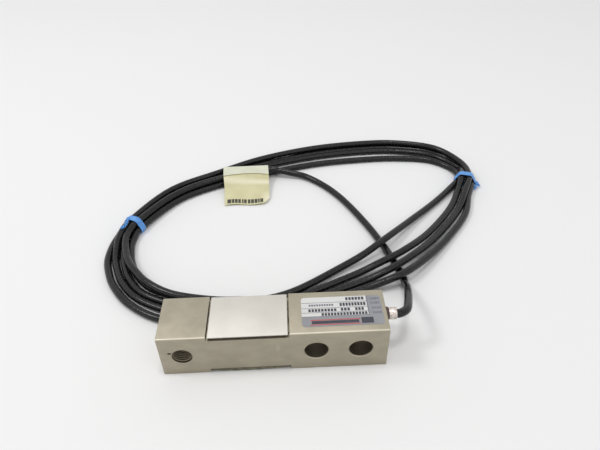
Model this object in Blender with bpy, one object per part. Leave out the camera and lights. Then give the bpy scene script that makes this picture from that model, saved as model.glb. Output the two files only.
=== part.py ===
"""Shear beam load cell with its potted gauge pockets, cable gland and coiled cable.

Millimetres in the constants, metres in the scene. X runs along the beam towards the cable end,
-Y faces the camera, Z is up. The beam stands on Z = 0.
"""
import math

import bpy
import bmesh
import numpy as np
from mathutils import Vector

MM = 0.001
GAP = 0.3

# Beam
LENGTH = 130.0
SECTION = 31.0
HALF = SECTION / 2
EDGE = 0.4
LOAD_HOLE_FROM_END = 12.7
LOAD_HOLE_D = 11.6
LOAD_SINK = 0.9
MOUNT_HOLE_D = 13.5
MOUNT_SINK = 0.5
OUTER_HOLE_FROM_END = 15.7
HOLE_PITCH = 25.4
MOUNT_HOLE_X = (LENGTH / 2 - OUTER_HOLE_FROM_END - HOLE_PITCH, LENGTH / 2 - OUTER_HOLE_FROM_END)
LOAD_HOLE_X = -LENGTH / 2 + LOAD_HOLE_FROM_END

# Recesses, pockets and the web between them
RECESS_X = (-37.6, 9.0)
RECESS_DEPTH = 3.2
POCKET_X = (-33.0, 4.0)
POCKET_HALF_Y = 9.5
POCKET_CORNER = 3.0
WEB = 4.0
WEB_HOLE_D = 3.4
WEB_HOLE = (-0.4, 5.5)
RECESS_FLOOR = SECTION - RECESS_DEPTH
WEB_TOP = HALF + WEB / 2

# Covers and their sealant
PLATE_X = (-36.6, 8.0)
PLATE_T = 0.8
PLATE_DROP = 0.4
PLATE_SET = 0.3
PLATE_EDGE = 0.15
SEAL_SET = 1.2
BED_SET = 0.5
WINDOW_SET = 1.0
LIP_SET = 0.2
LIP_LAP = 0.1
BEAD_REACH = 1.3
BEAD_LOW = (1.3, 0.5, 0.15, 0.12, 0.15, 0.4, 0.85, 1.5)

# Gauges, boards and wires inside
GAUGE = (14.0, 12.0, 0.4)
GAUGE_X = -20.0
BOARD = (6.0, 14.0, 1.2)
BOARD_X = -5.5
RESISTOR_D = 1.8
RESISTOR_L = 6.0
WIRE_D = 0.8
WIRE_STEP = 0.7 * WIRE_D
# colour, side, level and share of the board's width where it is soldered, of each wire
WIRES = {
    "red": ((0.55, 0.03, 0.02), 1, 1, 0.37),
    "black": ((0.02, 0.02, 0.02), -1, 1, -0.37),
    "green": ((0.02, 0.25, 0.06), 1, -1, 0.16),
    "white": ((0.75, 0.75, 0.72), -1, -1, -0.16),
}
BORE_D = 2.8
BORE_Z = SECTION - 4.8

# Gland
GLAND_Z = SECTION - 4.0
NIPPLE_D = 7.0
NIPPLE_SHOULDER = LENGTH / 2 + 1.6
NIPPLE_END = NIPPLE_SHOULDER + 4.7
SPIGOT_D = 5.8
SPIGOT_HOLE_D = SPIGOT_D + 2 * GAP
SPIGOT_START = NIPPLE_SHOULDER - 7.0
SPIGOT_HOLE_X = SPIGOT_START - GAP
SPIGOT_BORE_D = 4.0
WASHER_D = 8.2
WASHER_X = (LENGTH / 2 + GAP, NIPPLE_SHOULDER - GAP)
CABLE_D = 5.2
JACKET_HOLE_D = CABLE_D + 2 * GAP
JACKET_START = NIPPLE_SHOULDER + 1.4

# Label
LABEL_X = (LENGTH / 2 - 48.8, LENGTH / 2 - 2.2)
LABEL_HALF_Y = 11.0
LABEL_T = 0.2
LABEL_CORNER = 2.0

# Cable. Each station holds where the innermost run lies, then how far outside it each run lies
# and how far it is lifted off the table, both in cable diameters, from the inside out.
STATIONS = [
    ("tagRight", (-5, 190.5), (0.0, 2.1, 3.4, 2.95, 3), (0, 0, 0.85, 0, 0)),
    ("tagLeft", (-44, 175.5), (0.0, 0.5, 1.4, 2.3, 2.9), (0, 0.9, 0, 0.85, 0)),
    ("topLeft", (-78, 155.5), (0.0, 0.6, 1.2, 2.1, 2.6), (0, 0.85, 0, 0.85, 0)),
    ("leftTie", (-101.5, 122), (0.0, 0.54, 1.08, 1.62, 2.16), (0.2, 1.05, 0.2, 1.05, 0.2)),
    ("left1", (-106.7, 105), (0.0, 0.75, 1.2, 1.75, 2.45), (0, 0.92, 0, 0.85, 0)),
    ("left2", (-104.8, 88), (0.0, 0.55, 1.02, 2.06, 3.12), (0, 0.92, 0, 0.1, 0)),
    ("left3", (-100.5, 76), (0.1, 0.48, 1.13, 2.18, 3.35), (0, 0.96, 0, 0, 0)),
    ("left4", (-94, 65.5), (0.25, 0.38, 1.42, 2.44, 3.6), (0, 1.01, 0, 0, 0)),
    ("left5", (-84.5, 54.5), (0.2, 0.35, 1.47, 2.49, 3.74), (0, 1.01, 0, 0, 0)),
    ("left6", (-66, 45.5), (0.25, 0.75, 1.6, 2.7, 4.2), (0, 0.92, 0, 0, 0)),
    ("back1", (-40, 36.5), (0.0, 0.35, 1.3, 2.36, 3.38), (0, 1.0, 0, 0, 0.1)),
    ("back2", (-22, 34), (0.0, 0.12, 1.04, 2.06, 2.9), (0, 1.03, 0, 0, 0.75)),
    ("back3", (-6, 37.2), (0.0, 1.04, 2.08, 3.08, 3.56), (0.2, 0, 0, 0, 0.9)),
    ("back4", (16, 45.0), (0.0, 1.05, 2.1, 3.2, 4.5), (0.2, 0, 0, 0, 0)),
    ("right1", (48, 66), (0.1, 2.24, 3.9, 5.15, 6.0), (0.25, 0.2, 0.3, 0.35, 0)),
    ("right2", (64, 76), (0.23, 2.86, 4.75, 6.4, 6.0), (0.75, 0.8, 1.05, 1.15, 0)),
    ("right3", (80.0, 90.0), (0.4, 3.75, 5.1, 6.65, 7.0), (1.07, 1.05, 0.9, 0.75, 0)),
    ("right4", (103, 111), (0.02, 3.6, 4.81, 6.21, 7.0), (0.4, 0.4, 0.2, 0.15, 0)),
    ("right5", (130, 137.5), (0.02, 2.69, 3.92, 5.2, 5.5), (0, 0.1, 0.0, 0, 0)),
    ("right6", (147, 156), (0.1, 1.5, 2.65, 3.35, 5.5), (0.05, 0.4, 0.7, 0, 0)),
    ("rightTie", (158.5, 169.5), (0.0, 0.4, 1.5, 2.0, 2), (0.2, 1.1, 1.1, 0.2, 0)),
    ("corner", (157.5, 185.5), (0.0, 1.0, 1.55, 2.05, 2), (0, 0.12, 0.95, 0.0, 0)),
    ("top1", (141, 201), (0.0, 1.75, 2.9, 2.75, 3), (0, 0, 0.92, 0, 0)),
    ("top2", (114, 206.5), (0.0, 2.3, 3.75, 3.35, 4), (0, 0, 0.9, 0, 0)),
    ("top3", (85, 207), (0.0, 2.5, 3.95, 3.55, 4), (0, 0, 0.9, 0, 0)),
    ("top4", (40, 202.5), (0.0, 2.3, 3.75, 3.35, 4), (0, 0, 0.9, 0, 0)),
]
LEAD_POINTS = [
    (JACKET_START, 0, GLAND_Z), (NIPPLE_END - 1.4, 0, GLAND_Z), (NIPPLE_END + 2.0, 0, GLAND_Z - 0.3),
    (NIPPLE_END + 6.9, 3.8, GLAND_Z - 1.5), (NIPPLE_END + 9.7, 11.6, GLAND_Z - 4.3),
    (NIPPLE_END + 12.4, 22.5, 0.68 * GLAND_Z), (NIPPLE_END + 14.6, 32, 0.475 * GLAND_Z),
    (87.4, 39.6, 7.8), (88, 46, 3.6), (88.1, 53, 2.6), (86.4, 61.5, 2.6), (82.4, 79, 2.6), (77.9, 93.5, 2.6),
    (72.6, 109, 2.6), (63.1, 132, 2.6), (53, 152, 2.6), (41.1, 169, 2.6), (27.1, 181.6, 3.4),
    (14.1, 185.6, 4.9), (5, 187.2, 6.4), (-5, 188.3, 7.3),
]
END_POINTS = [
    (-8, 18.6, 7.6), (0, 18.6, 7.6), (6, 18.9, 6.6), (11, 19.6, 4.6), (15.5, 20.3, 3.6), (19.5, 20.4, 3.6),
    (24, 20.4, 3.6),
]
# Where the lead goes into the coil behind the beam, comes out of it and joins it at the top
COIL_ENTRY_Y = 42.0
COIL_EXIT_Y = 76.5
COIL_JOIN_X = 14.0
RUNS = 5
FIRST_RUN_LANE = (1, 0, 2, 3, 4)
SWAP_STATION = "back3"
PER_STATION = 6
# How the hank's outline follows its runs: columns over its width, how near they come to its sides,
# how wide each run is read, its least height and how far it is raised where a tie passes under it
HANK_COLUMNS = 7
HANK_INSET = 0.04
HANK_SPREAD = 1.25
HANK_LEAST = 3.2
HANK_RAISED = 1.5

# Cable end: sleeve and stripped wires, lying between the beam and the coil
SLEEVE_D = 7.0
SLEEVE_X = (17.0, 37.0)
SLEEVE_EDGE = 0.3
SLEEVE_Y = 20.4
SLEEVE_Z = 3.6
END_WIRE_D = 1.0
END_WIRE_STEP = 0.72 * END_WIRE_D
DRAIN_D = 0.6
END_WIRE_REACH = 28.0
END_SPREAD = {"red": 6.0, "black": -3.2, "green": 3.0, "white": -0.8, "drain": 1.1}

# Ties and tag
TIE_W = 4.4
TIE_STEPS = {"leftTie": 1, "rightTie": 0}
TIE_T = 0.7
TIE_CLEAR = 0.55
TAIL_START = 0.35
TAIL_GROWTH = 0.22
TAIL_HALF_W = 1.3
TAIL_HALF_T = 0.42
TAIL_TWIST = 0.55
LEFT_TAIL = [(-111.8, 117.5, 12.0), (-112.2, 113.3, 12.0), (-113.2, 110.2, 11.8), (-115.4, 108.6, 11.4)]
RIGHT_TAIL = [(172.9, 161.4, 2.6), (174.0, 158.4, 2.2), (174.8, 155.8, 2.1)]
TAG_T = 0.5
TAG_X = (-44.0, -5.0)
TAG_SKEW = (3.2, 1.0)
TAG_LEFT = [
    (190.6, 9.7), (189.0, 11.1), (186.4, 11.4), (182.6, 11.4), (178.4, 11.3), (175.4, 10.9), (172.4, 9.9),
    (169.8, 8.0), (166.6, 5.8), (162.6, 4.3), (157.0, 3.0), (151.0, 1.7), (146.5, 0.9),
]
TAG_RIGHT = [
    (192.3, 8.9), (190.9, 10.4), (189.2, 11.1), (187.2, 11.0), (185.2, 10.2), (183.0, 8.9), (180.2, 7.4),
    (176.5, 6.1), (171.0, 4.9), (164.5, 3.7), (158.0, 2.6), (151.5, 1.4), (147.0, 0.9),
]


def clear_scene():
    for obj in list(bpy.data.objects):
        bpy.data.objects.remove(obj, do_unlink=True)


def material(name, colour, metallic, roughness):
    mat = bpy.data.materials.new(name)
    mat.use_nodes = True
    shader = mat.node_tree.nodes["Principled BSDF"]
    shader.inputs["Base Color"].default_value = (*colour, 1)
    shader.inputs["Metallic"].default_value = metallic
    shader.inputs["Roughness"].default_value = roughness
    return mat


def link(obj, name, look=None):
    obj.name = name
    bpy.context.scene.collection.objects.link(obj)
    if look:
        obj.data.materials.append(material(name + "Look", *look))
    return obj


def from_bmesh(bm, name, look=None, smooth=False):
    bmesh.ops.recalc_face_normals(bm, faces=bm.faces)
    mesh = bpy.data.meshes.new(name)
    for face in bm.faces:
        face.smooth = smooth
    bm.to_mesh(mesh)
    bm.free()
    return link(bpy.data.objects.new(name, mesh), name, look)


def box(name, low, high, look=None, edge=0.0):
    bm = bmesh.new()
    bmesh.ops.create_cube(bm, size=1.0)
    low, high = Vector(low), Vector(high)
    for v in bm.verts:
        v.co = Vector(((low[i] + high[i]) / 2 + v.co[i] * (high[i] - low[i])) * MM for i in range(3))
    if edge:
        bmesh.ops.bevel(bm, geom=bm.edges[:], offset=edge * MM, segments=1, affect="EDGES")
    return from_bmesh(bm, name, look)


def prism(name, outline, low, high, axis, look=None):
    """An outline of (a, b) pairs pushed along axis X, Y or Z from low to high."""
    bm = bmesh.new()
    rings = []
    for at in (low, high):
        ring = []
        for a, b in outline:
            co = {"X": (at, a, b), "Y": (a, at, b), "Z": (a, b, at)}[axis]
            ring.append(bm.verts.new(Vector(co) * MM))
        rings.append(ring)
    n = len(outline)
    for i in range(n):
        bm.faces.new((rings[0][i], rings[0][(i + 1) % n], rings[1][(i + 1) % n], rings[1][i]))
    bm.faces.new(rings[0])
    bm.faces.new(rings[1][::-1])
    return from_bmesh(bm, name, look)


def rounded(low, high, corner, steps=5):
    """Outline of a rectangle with rounded corners."""
    out = []
    for k, (sx, sy) in enumerate(((1, 1), (-1, 1), (-1, -1), (1, -1))):
        cx = (high[0] if sx > 0 else low[0]) - sx * corner
        cy = (high[1] if sy > 0 else low[1]) - sy * corner
        for s in range(steps + 1):
            a = math.pi / 2 * (k + s / steps)
            out.append((cx + corner * math.cos(a), cy + corner * math.sin(a)))
    return out


def turned(name, profile, axis, centre, look=None, sides=40, smooth=True):
    """A closed solid of revolution. The profile is (along, radius) from one end to the other and
    back inside when it is hollow. centre gives the two coordinates across the axis."""
    bm = bmesh.new()
    rings = []
    for along, radius in profile:
        ring = []
        for k in range(sides):
            a = 2 * math.pi * k / sides
            p, q = radius * math.cos(a), radius * math.sin(a)
            if axis == "X":
                co = (along, centre[0] + p, centre[1] + q)
            elif axis == "Y":
                co = (centre[0] + p, along, centre[1] + q)
            else:
                co = (centre[0] + p, centre[1] + q, along)
            ring.append(bm.verts.new(Vector(co) * MM))
        rings.append(ring)
    m = len(rings)
    hollow = profile[0] == profile[-1]
    if hollow:
        for v in rings[-1]:
            bm.verts.remove(v)
        rings[-1] = rings[0]
    for i in range(m - 1):
        for k in range(sides):
            j = (k + 1) % sides
            bm.faces.new((rings[i][k], rings[i][j], rings[i + 1][j], rings[i + 1][k]))
    if not hollow:
        bm.faces.new(rings[0])
        bm.faces.new(rings[-1][::-1])
    return from_bmesh(bm, name, look, smooth)


def combine(obj, others, operation):
    for other in others:
        mod = obj.modifiers.new(f"{operation.lower()}{len(obj.modifiers)}", "BOOLEAN")
        mod.operation = operation
        mod.solver = "EXACT"
        mod.object = other
        other.hide_render = True
        other.display_type = "WIRE"
    return obj


def tube(name, points, diameter, look, sides=3):
    """A round tube with flat ends through points read at even steps from a smooth curve."""
    data = bpy.data.curves.new(name, "CURVE")
    data.dimensions = "3D"
    data.bevel_depth = diameter / 2 * MM
    data.bevel_resolution = sides
    data.use_fill_caps = True
    spline = data.splines.new("POLY")
    spline.points.add(len(points) - 1)
    for p, co in zip(spline.points, points):
        p.co = (co[0] * MM, co[1] * MM, co[2] * MM, 1)
    spline.use_smooth = True
    return link(bpy.data.objects.new(name, data), name, look)


def smooth_route(points, per):
    """Catmull-Rom through the points, with per steps to each stretch."""
    p = np.array(points, float)
    q = np.vstack([2 * p[0] - p[1], p, 2 * p[-1] - p[-2]])
    out = []
    for i in range(1, len(q) - 2):
        a, b, c, e = q[i - 1:i + 3]
        for s in np.arange(per) / per:
            out.append(0.5 * (2 * b + (c - a) * s + (2 * a - 5 * b + 4 * c - e) * s**2
                              + (3 * b - a - 3 * c + e) * s**3))
    out.append(p[-1])
    return np.array(out)


def even(points, step):
    """The same route as points at even steps."""
    points = np.array(points, float)
    length = np.r_[0, np.cumsum(np.linalg.norm(np.diff(points, axis=0), axis=1))]
    at = np.linspace(0, length[-1], max(2, int(round(length[-1] / step)) + 1))
    return np.stack([np.interp(at, length, points[:, i]) for i in range(3)], 1)


def guide_frame():
    """Smooth closed guide of the innermost run, with its outward direction, at every small step."""
    guide = np.array([(*s[1], 0.0) for s in STATIONS])
    n = len(guide)
    ring = np.vstack([guide[-3:], guide, guide[:3]])
    fine = smooth_route(ring, PER_STATION)[3 * PER_STATION:(3 + n) * PER_STATION]
    ahead = np.roll(fine, -1, axis=0) - np.roll(fine, 1, axis=0)
    ahead /= np.linalg.norm(ahead, axis=1)[:, None]
    return fine, np.stack([ahead[:, 1], -ahead[:, 0], 0 * ahead[:, 0]], 1)


def cable_points():
    """The whole cable's centre line: the lead, then every run round the coil, then the free end."""
    guide = np.array([s[1] for s in STATIONS], float)
    n = len(guide)
    names = [s[0] for s in STATIONS]
    swap = names.index(SWAP_STATION)
    route = []
    for run in range(RUNS):
        for j, (name, at, across, lift) in enumerate(STATIONS):
            if (run == 0 and j == 0) or (run == RUNS - 1 and j >= swap):
                continue
            lane = FIRST_RUN_LANE[run] if 0 < j < swap else run - (j == 0)
            ahead = guide[(j + 1) % n] - guide[j - 1]
            ahead /= np.linalg.norm(ahead)
            side = np.array([ahead[1], -ahead[0]])
            x, y = guide[j] + side * across[lane] * CABLE_D
            route.append((x, y, CABLE_D * (0.5 + lift[lane])))
    return LEAD_POINTS + route


def beam_body():
    look = ((0.42, 0.385, 0.32), 1.0, 0.42)
    body = box("beam_body", (-LENGTH / 2, -HALF, 0), (LENGTH / 2, HALF, SECTION), look, EDGE)
    cuts = []
    over = 1.0
    for side, z in (("upper", (RECESS_FLOOR, SECTION + over)), ("lower", (-over, RECESS_DEPTH))):
        low, high = (RECESS_X[0], -HALF - over, z[0]), (RECESS_X[1], HALF + over, z[1])
        cuts.append(box(side + "RecessCut", low, high))
    pocket = rounded((POCKET_X[0], -POCKET_HALF_Y), (POCKET_X[1], POCKET_HALF_Y), POCKET_CORNER)
    cuts.append(prism("upperPocketCut", pocket, WEB_TOP, RECESS_FLOOR + over, "Z"))
    cuts.append(prism("lowerPocketCut", pocket, RECESS_DEPTH - over, SECTION - WEB_TOP, "Z"))
    holes = [(x, MOUNT_HOLE_D / 2, MOUNT_SINK) for x in MOUNT_HOLE_X]
    holes.append((LOAD_HOLE_X, LOAD_HOLE_D / 2, LOAD_SINK))
    for k, (x, radius, sink) in enumerate(holes):
        profile = [(-HALF - over, radius + sink + over), (-HALF + sink, radius), (HALF - sink, radius),
                   (HALF + over, radius + sink + over)]
        cuts.append(turned(f"holeCut{k}", profile, "Y", (x, HALF), sides=48))
    for name, ends, diameter, axis, centre in (
            ("webHoleCut", (WEB_TOP - WEB - over, WEB_TOP + over), WEB_HOLE_D, "Z", WEB_HOLE),
            ("wireBoreCut", (POCKET_X[1] - over, SPIGOT_HOLE_X + over), BORE_D, "X", (0, BORE_Z)),
            ("spigotHoleCut", (SPIGOT_HOLE_X, LENGTH / 2 + over), SPIGOT_HOLE_D, "X", (0, GLAND_Z))):
        cuts.append(turned(name, [(at, diameter / 2) for at in ends], axis, centre, sides=28))
    return combine(body, cuts, "DIFFERENCE")


def covers():
    steel = ((0.62, 0.60, 0.55), 1.0, 0.45)
    sealant = ((0.09, 0.055, 0.03), 0.0, 0.6)
    bead_look = ((0.17, 0.16, 0.11), 0.0, 0.55)
    left, right = PLATE_X
    reach = HALF - PLATE_SET
    top = SECTION - PLATE_DROP
    box("upper_cover_plate", (left, -reach, top - PLATE_T), (right, reach, top), steel, PLATE_EDGE)
    low, high = RECESS_FLOOR + GAP, top - PLATE_T - GAP
    half = HALF - SEAL_SET
    bed = box("upper_sealant_bed", (left + BED_SET, -half, low), (right - BED_SET, half, high), sealant)
    combine(bed, [window("upperWindowCut", low, high)], "DIFFERENCE")

    inner = reach - BEAD_REACH - GAP
    low, high = PLATE_DROP + PLATE_T + GAP, RECESS_DEPTH - GAP
    top = PLATE_DROP + PLATE_T
    box("lower_cover_plate", (left, -inner, PLATE_DROP), (right, inner, top), steel, PLATE_EDGE)
    bead = box("lower_sealant_bead", (left + BED_SET, -reach, low), (right - BED_SET, reach, high), bead_look)
    count = len(BEAD_LOW)
    start, stop = RECESS_X[0] + GAP, RECESS_X[1] - GAP
    xs = [start + (stop - start) * k / (count - 1) for k in range(count)]
    top = high - LIP_LAP
    outline = [(xs[0], top)] + list(zip(xs, BEAD_LOW)) + [(xs[-1], top)]
    lips = [prism("frontLip", outline, -reach - LIP_SET, -inner - GAP, "Y"),
            prism("backLip", outline, inner + GAP, reach + LIP_SET, "Y")]
    combine(bead, lips, "UNION")
    combine(bead, [window("lowerWindowCut", low, high)], "DIFFERENCE")


def window(name, low, high):
    """Cutter for the opening over the pocket in a sealant bed between two heights."""
    x, y = (POCKET_X[0] + WINDOW_SET, POCKET_X[1] - WINDOW_SET), POCKET_HALF_Y - WINDOW_SET
    return box(name, (x[0], -y, low - 1), (x[1], y, high + 1))


def web_parts():
    foil = ((0.75, 0.5, 0.22), 0.0, 0.4)
    board = ((0.55, 0.48, 0.25), 0.0, 0.5)
    for side, sign in (("upper", 1), ("lower", -1)):
        face = HALF + sign * WEB / 2
        a, b = face + sign * GAP, face + sign * (GAP + GAUGE[2])
        box(f"{side}_shear_gauge", (GAUGE_X - GAUGE[0] / 2, -GAUGE[1] / 2, min(a, b)),
            (GAUGE_X + GAUGE[0] / 2, GAUGE[1] / 2, max(a, b)), foil)
        b = face + sign * (GAP + BOARD[2])
        box(f"{side}_terminal_board", (BOARD_X - BOARD[0] / 2, -BOARD[1] / 2, min(a, b)),
            (BOARD_X + BOARD[0] / 2, BOARD[1] / 2, max(a, b)), board)
    z = WEB_TOP + GAP + RESISTOR_D / 2
    turned("balance_resistor", [(-RESISTOR_L / 2, RESISTOR_D / 2), (RESISTOR_L / 2, RESISTOR_D / 2)], "Y",
           (BOARD_X - BOARD[0] / 2 - GAP - RESISTOR_D, z), ((0.2, 0.32, 0.5), 0.0, 0.4), sides=20)


def inside_wires():
    """Four wires from the upper board through the bore to the cable, and two links through the web."""
    rise = BOARD[2] + 2 * GAP + WIRE_D / 2
    low, high = SECTION - WEB_TOP - rise, WEB_TOP + rise
    for name, (colour, sy, sz, share) in WIRES.items():
        y, z, pad = sy * WIRE_STEP, BORE_Z + sz * WIRE_STEP, share * BOARD[1]
        x = BOARD_X + 0.4
        up = z - high
        points = [(x, pad, high), (x + 2.6, pad * 0.97, high + 0.13 * up),
                  (x + 5.2, pad * 0.7, high + 0.57 * up), (x + 7.6, y + (pad - y) * 0.22, high + 0.81 * up),
                  (x + 9.8, y, z)]
        fine = np.vstack([smooth_route(points, 4), [(JACKET_START - GAP, y, z)]])
        tube(f"board_wire_{name}", fine, WIRE_D, (colour, 0.0, 0.35), 1)
    for k, sx in enumerate((-0.75, 0.75)):
        x, y = WEB_HOLE[0] + sx, WEB_HOLE[1]
        end = BOARD_X + BOARD[0] / 2 - 0.8
        reach = 0.7 * k
        lower = [(end, y + 1.0 + reach, low), (x - 0.8, y + 0.5 + reach, low - 0.3), (x, y, low + 1.2)]
        upper = [(a, b, SECTION - c) for a, b, c in reversed(lower)]
        points = lower + [(x, y, HALF)] + upper
        tube(("link_wire_one", "link_wire_two")[k], smooth_route(points, 3), WIRE_D,
             ((0.7, 0.6, 0.1), 0.0, 0.4), 1)


def gland():
    spigot, nipple, jacket, bore = SPIGOT_D / 2, NIPPLE_D / 2, JACKET_HOLE_D / 2, SPIGOT_BORE_D / 2
    step = NIPPLE_SHOULDER + 0.2
    profile = [(SPIGOT_START, spigot), (NIPPLE_SHOULDER, spigot), (NIPPLE_SHOULDER, nipple - 0.2),
               (step, nipple), (NIPPLE_END - 0.4, nipple), (NIPPLE_END, nipple - 0.4), (NIPPLE_END, jacket),
               (step, jacket), (step, bore), (SPIGOT_START, bore), (SPIGOT_START, spigot)]
    turned("gland_nipple", profile, "X", (0, GLAND_Z), ((0.62, 0.55, 0.5), 1.0, 0.5), sides=36)
    inner = spigot + GAP
    a, b = WASHER_X
    ring = [(a, inner), (a, WASHER_D / 2 - 0.3), (a + 0.3, WASHER_D / 2), (b - 0.3, WASHER_D / 2 - 0.2),
            (b, WASHER_D / 2 - 0.7), (b, inner), (a, inner)]
    turned("gland_seal_washer", ring, "X", (0, GLAND_Z), ((0.06, 0.035, 0.025), 0.0, 0.6), sides=36)


def label():
    outline = rounded((LABEL_X[0], -LABEL_HALF_Y), (LABEL_X[1], LABEL_HALF_Y), LABEL_CORNER, 4)
    prism("data_label", outline, SECTION + GAP, SECTION + GAP + LABEL_T, "Z", ((0.35, 0.38, 0.42), 0.0, 0.35))


def ring_sections(points):
    """For every step round the guide: position, outward direction, the runs lying there as
    (across, height) pairs. Runs that leave the hank, as tubes of their own, are left out."""
    fine, side = guide_frame()
    names = [s[0] for s in STATIONS]
    steps = len(fine)
    lead = (len(LEAD_POINTS) - 1) * PER_STATION
    sections = []
    for i in range(steps):
        runs = []
        for run in range(RUNS):
            k = lead + run * steps + i
            if k >= len(points) - 1:
                continue
            if run == RUNS - 1 and i > names.index("back1") * PER_STATION + 1:
                continue
            away = names.index("right1") * PER_STATION - 3 <= i <= names.index("right6") * PER_STATION + 3
            if run == 0 and away:
                continue
            runs.append((float(np.dot(points[k] - fine[i], side[i])), float(points[k][2])))
        sections.append((fine[i], side[i], sorted(runs)))
    return sections


def ring_outline(section, grow, base):
    """Cross-section of the hank as (across, height) points, counter-clockwise from the inner foot."""
    r = CABLE_D / 2
    reach = HANK_SPREAD * r
    runs = section[2]
    low, high = runs[0][0] - r, runs[-1][0] + r
    outline = [(low - grow, base), (low - grow, r)]
    for c in range(HANK_COLUMNS):
        share = HANK_INSET + (1 - 2 * HANK_INSET) * c / (HANK_COLUMNS - 1)
        a = low + (high - low) * share
        top = HANK_LEAST
        for at, z in runs:
            if abs(a - at) < reach:
                top = max(top, z + r * math.sqrt(max(0.0, 1 - ((a - at) / reach) ** 2)))
        outline.append((a, top + grow))
    outline += [(high + grow, r), (high + grow, base)]
    return outline


def tie_step(name):
    """The step round the guide at which a tie sits."""
    return [s[0] for s in STATIONS].index(name) * PER_STATION + TIE_STEPS[name]


def cable_coil(points):
    sections = ring_sections(points)
    ties = [tie_step(name) for name in TIE_STEPS]
    bm = bmesh.new()
    rings = []
    for i, section in enumerate(sections):
        base = HANK_RAISED if min(abs(i - t) for t in ties) <= 3 else 0.0
        ring = []
        for a, z in ring_outline(section, 0.0, base):
            ring.append(bm.verts.new(Vector((*(section[0] + section[1] * a)[:2], z)) * MM))
        rings.append(ring)
    n, m = len(rings), len(rings[0])
    for i in range(n):
        for k in range(m):
            a, b = rings[i], rings[(i + 1) % n]
            bm.faces.new((a[k], a[(k + 1) % m], b[(k + 1) % m], b[k]))
    return from_bmesh(bm, "cable_coil", ((0.02, 0.02, 0.021), 0.0, 0.5), True), sections


def cable_runs(points):
    look = ((0.02, 0.02, 0.021), 0.0, 0.5)
    fine = PER_STATION
    names = [s[0] for s in STATIONS]
    lead_end = (len(LEAD_POINTS) - 1) * fine
    step = CABLE_D * 2.2
    reach = min(i for i in range(lead_end) if points[i][1] > COIL_ENTRY_Y)
    tube("cable_exit_run", even(points[:reach], CABLE_D * 0.45), CABLE_D, look)
    first = min(i for i in range(lead_end) if points[i][1] > COIL_EXIT_Y)
    last = max(i for i in range(lead_end) if points[i][0] > COIL_JOIN_X)
    tube("cable_inner_run", even(points[first:last + 1], step), CABLE_D, look)
    first = lead_end + names.index("right1") * fine - 2
    last = lead_end + names.index("right6") * fine + 2
    tube("cable_diagonal_run", even(points[first:last + 1], step), CABLE_D, look)
    steps = len(STATIONS) * fine
    first = lead_end + (RUNS - 1) * steps + names.index("back1") * fine + 5
    tail = [p for p in points[first:] if p[0] < END_POINTS[0][0] - 3]
    tail = smooth_route(tail[::2] + [np.array(p) for p in END_POINTS], 4)
    tube("cable_end_run", even(tail, CABLE_D * 0.9), CABLE_D, look)


def cable_end():
    r = SLEEVE_D / 2
    hole = JACKET_HOLE_D / 2
    a, b = SLEEVE_X
    edge = SLEEVE_EDGE
    profile = [(a, hole), (a, r - edge), (a + edge, r), (b - edge, r), (b, r - edge), (b, hole), (a, hole)]
    turned("end_sleeve", profile, "X", (SLEEVE_Y, SLEEVE_Z), ((0.03, 0.03, 0.032), 0.0, 0.35), sides=24)
    for k, (name, (colour, sy, sz, _)) in enumerate(WIRES.items()):
        fine = end_route(sy * END_WIRE_STEP, sz * END_WIRE_STEP, END_SPREAD[name], END_WIRE_D, 2.5 * k)
        tube(f"end_wire_{name}", fine, END_WIRE_D, (colour, 0.0, 0.35), 1)
    fine = end_route(0, 0, END_SPREAD["drain"], DRAIN_D, 5.0)
    tube("end_drain_wire", fine, DRAIN_D, ((0.6, 0.6, 0.6), 1.0, 0.35), 1)


def end_route(side, level, spread, diameter, short):
    """A stripped wire from its place in the jacket out of the sleeve and down onto the table."""
    out = SLEEVE_X[1]
    y, z = SLEEVE_Y + side, SLEEVE_Z + level
    points = [(out + 2, y, z), (out + 0.32 * END_WIRE_REACH, y + 0.3 * spread, 0.62 * z),
              (out + 0.65 * END_WIRE_REACH, y + 0.72 * spread, diameter / 2 + GAP),
              (out + END_WIRE_REACH - short, y + spread, diameter / 2 + 0.1)]
    return np.vstack([[(END_POINTS[-1][0] + GAP, y, z)], smooth_route(points, 4)])


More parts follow.
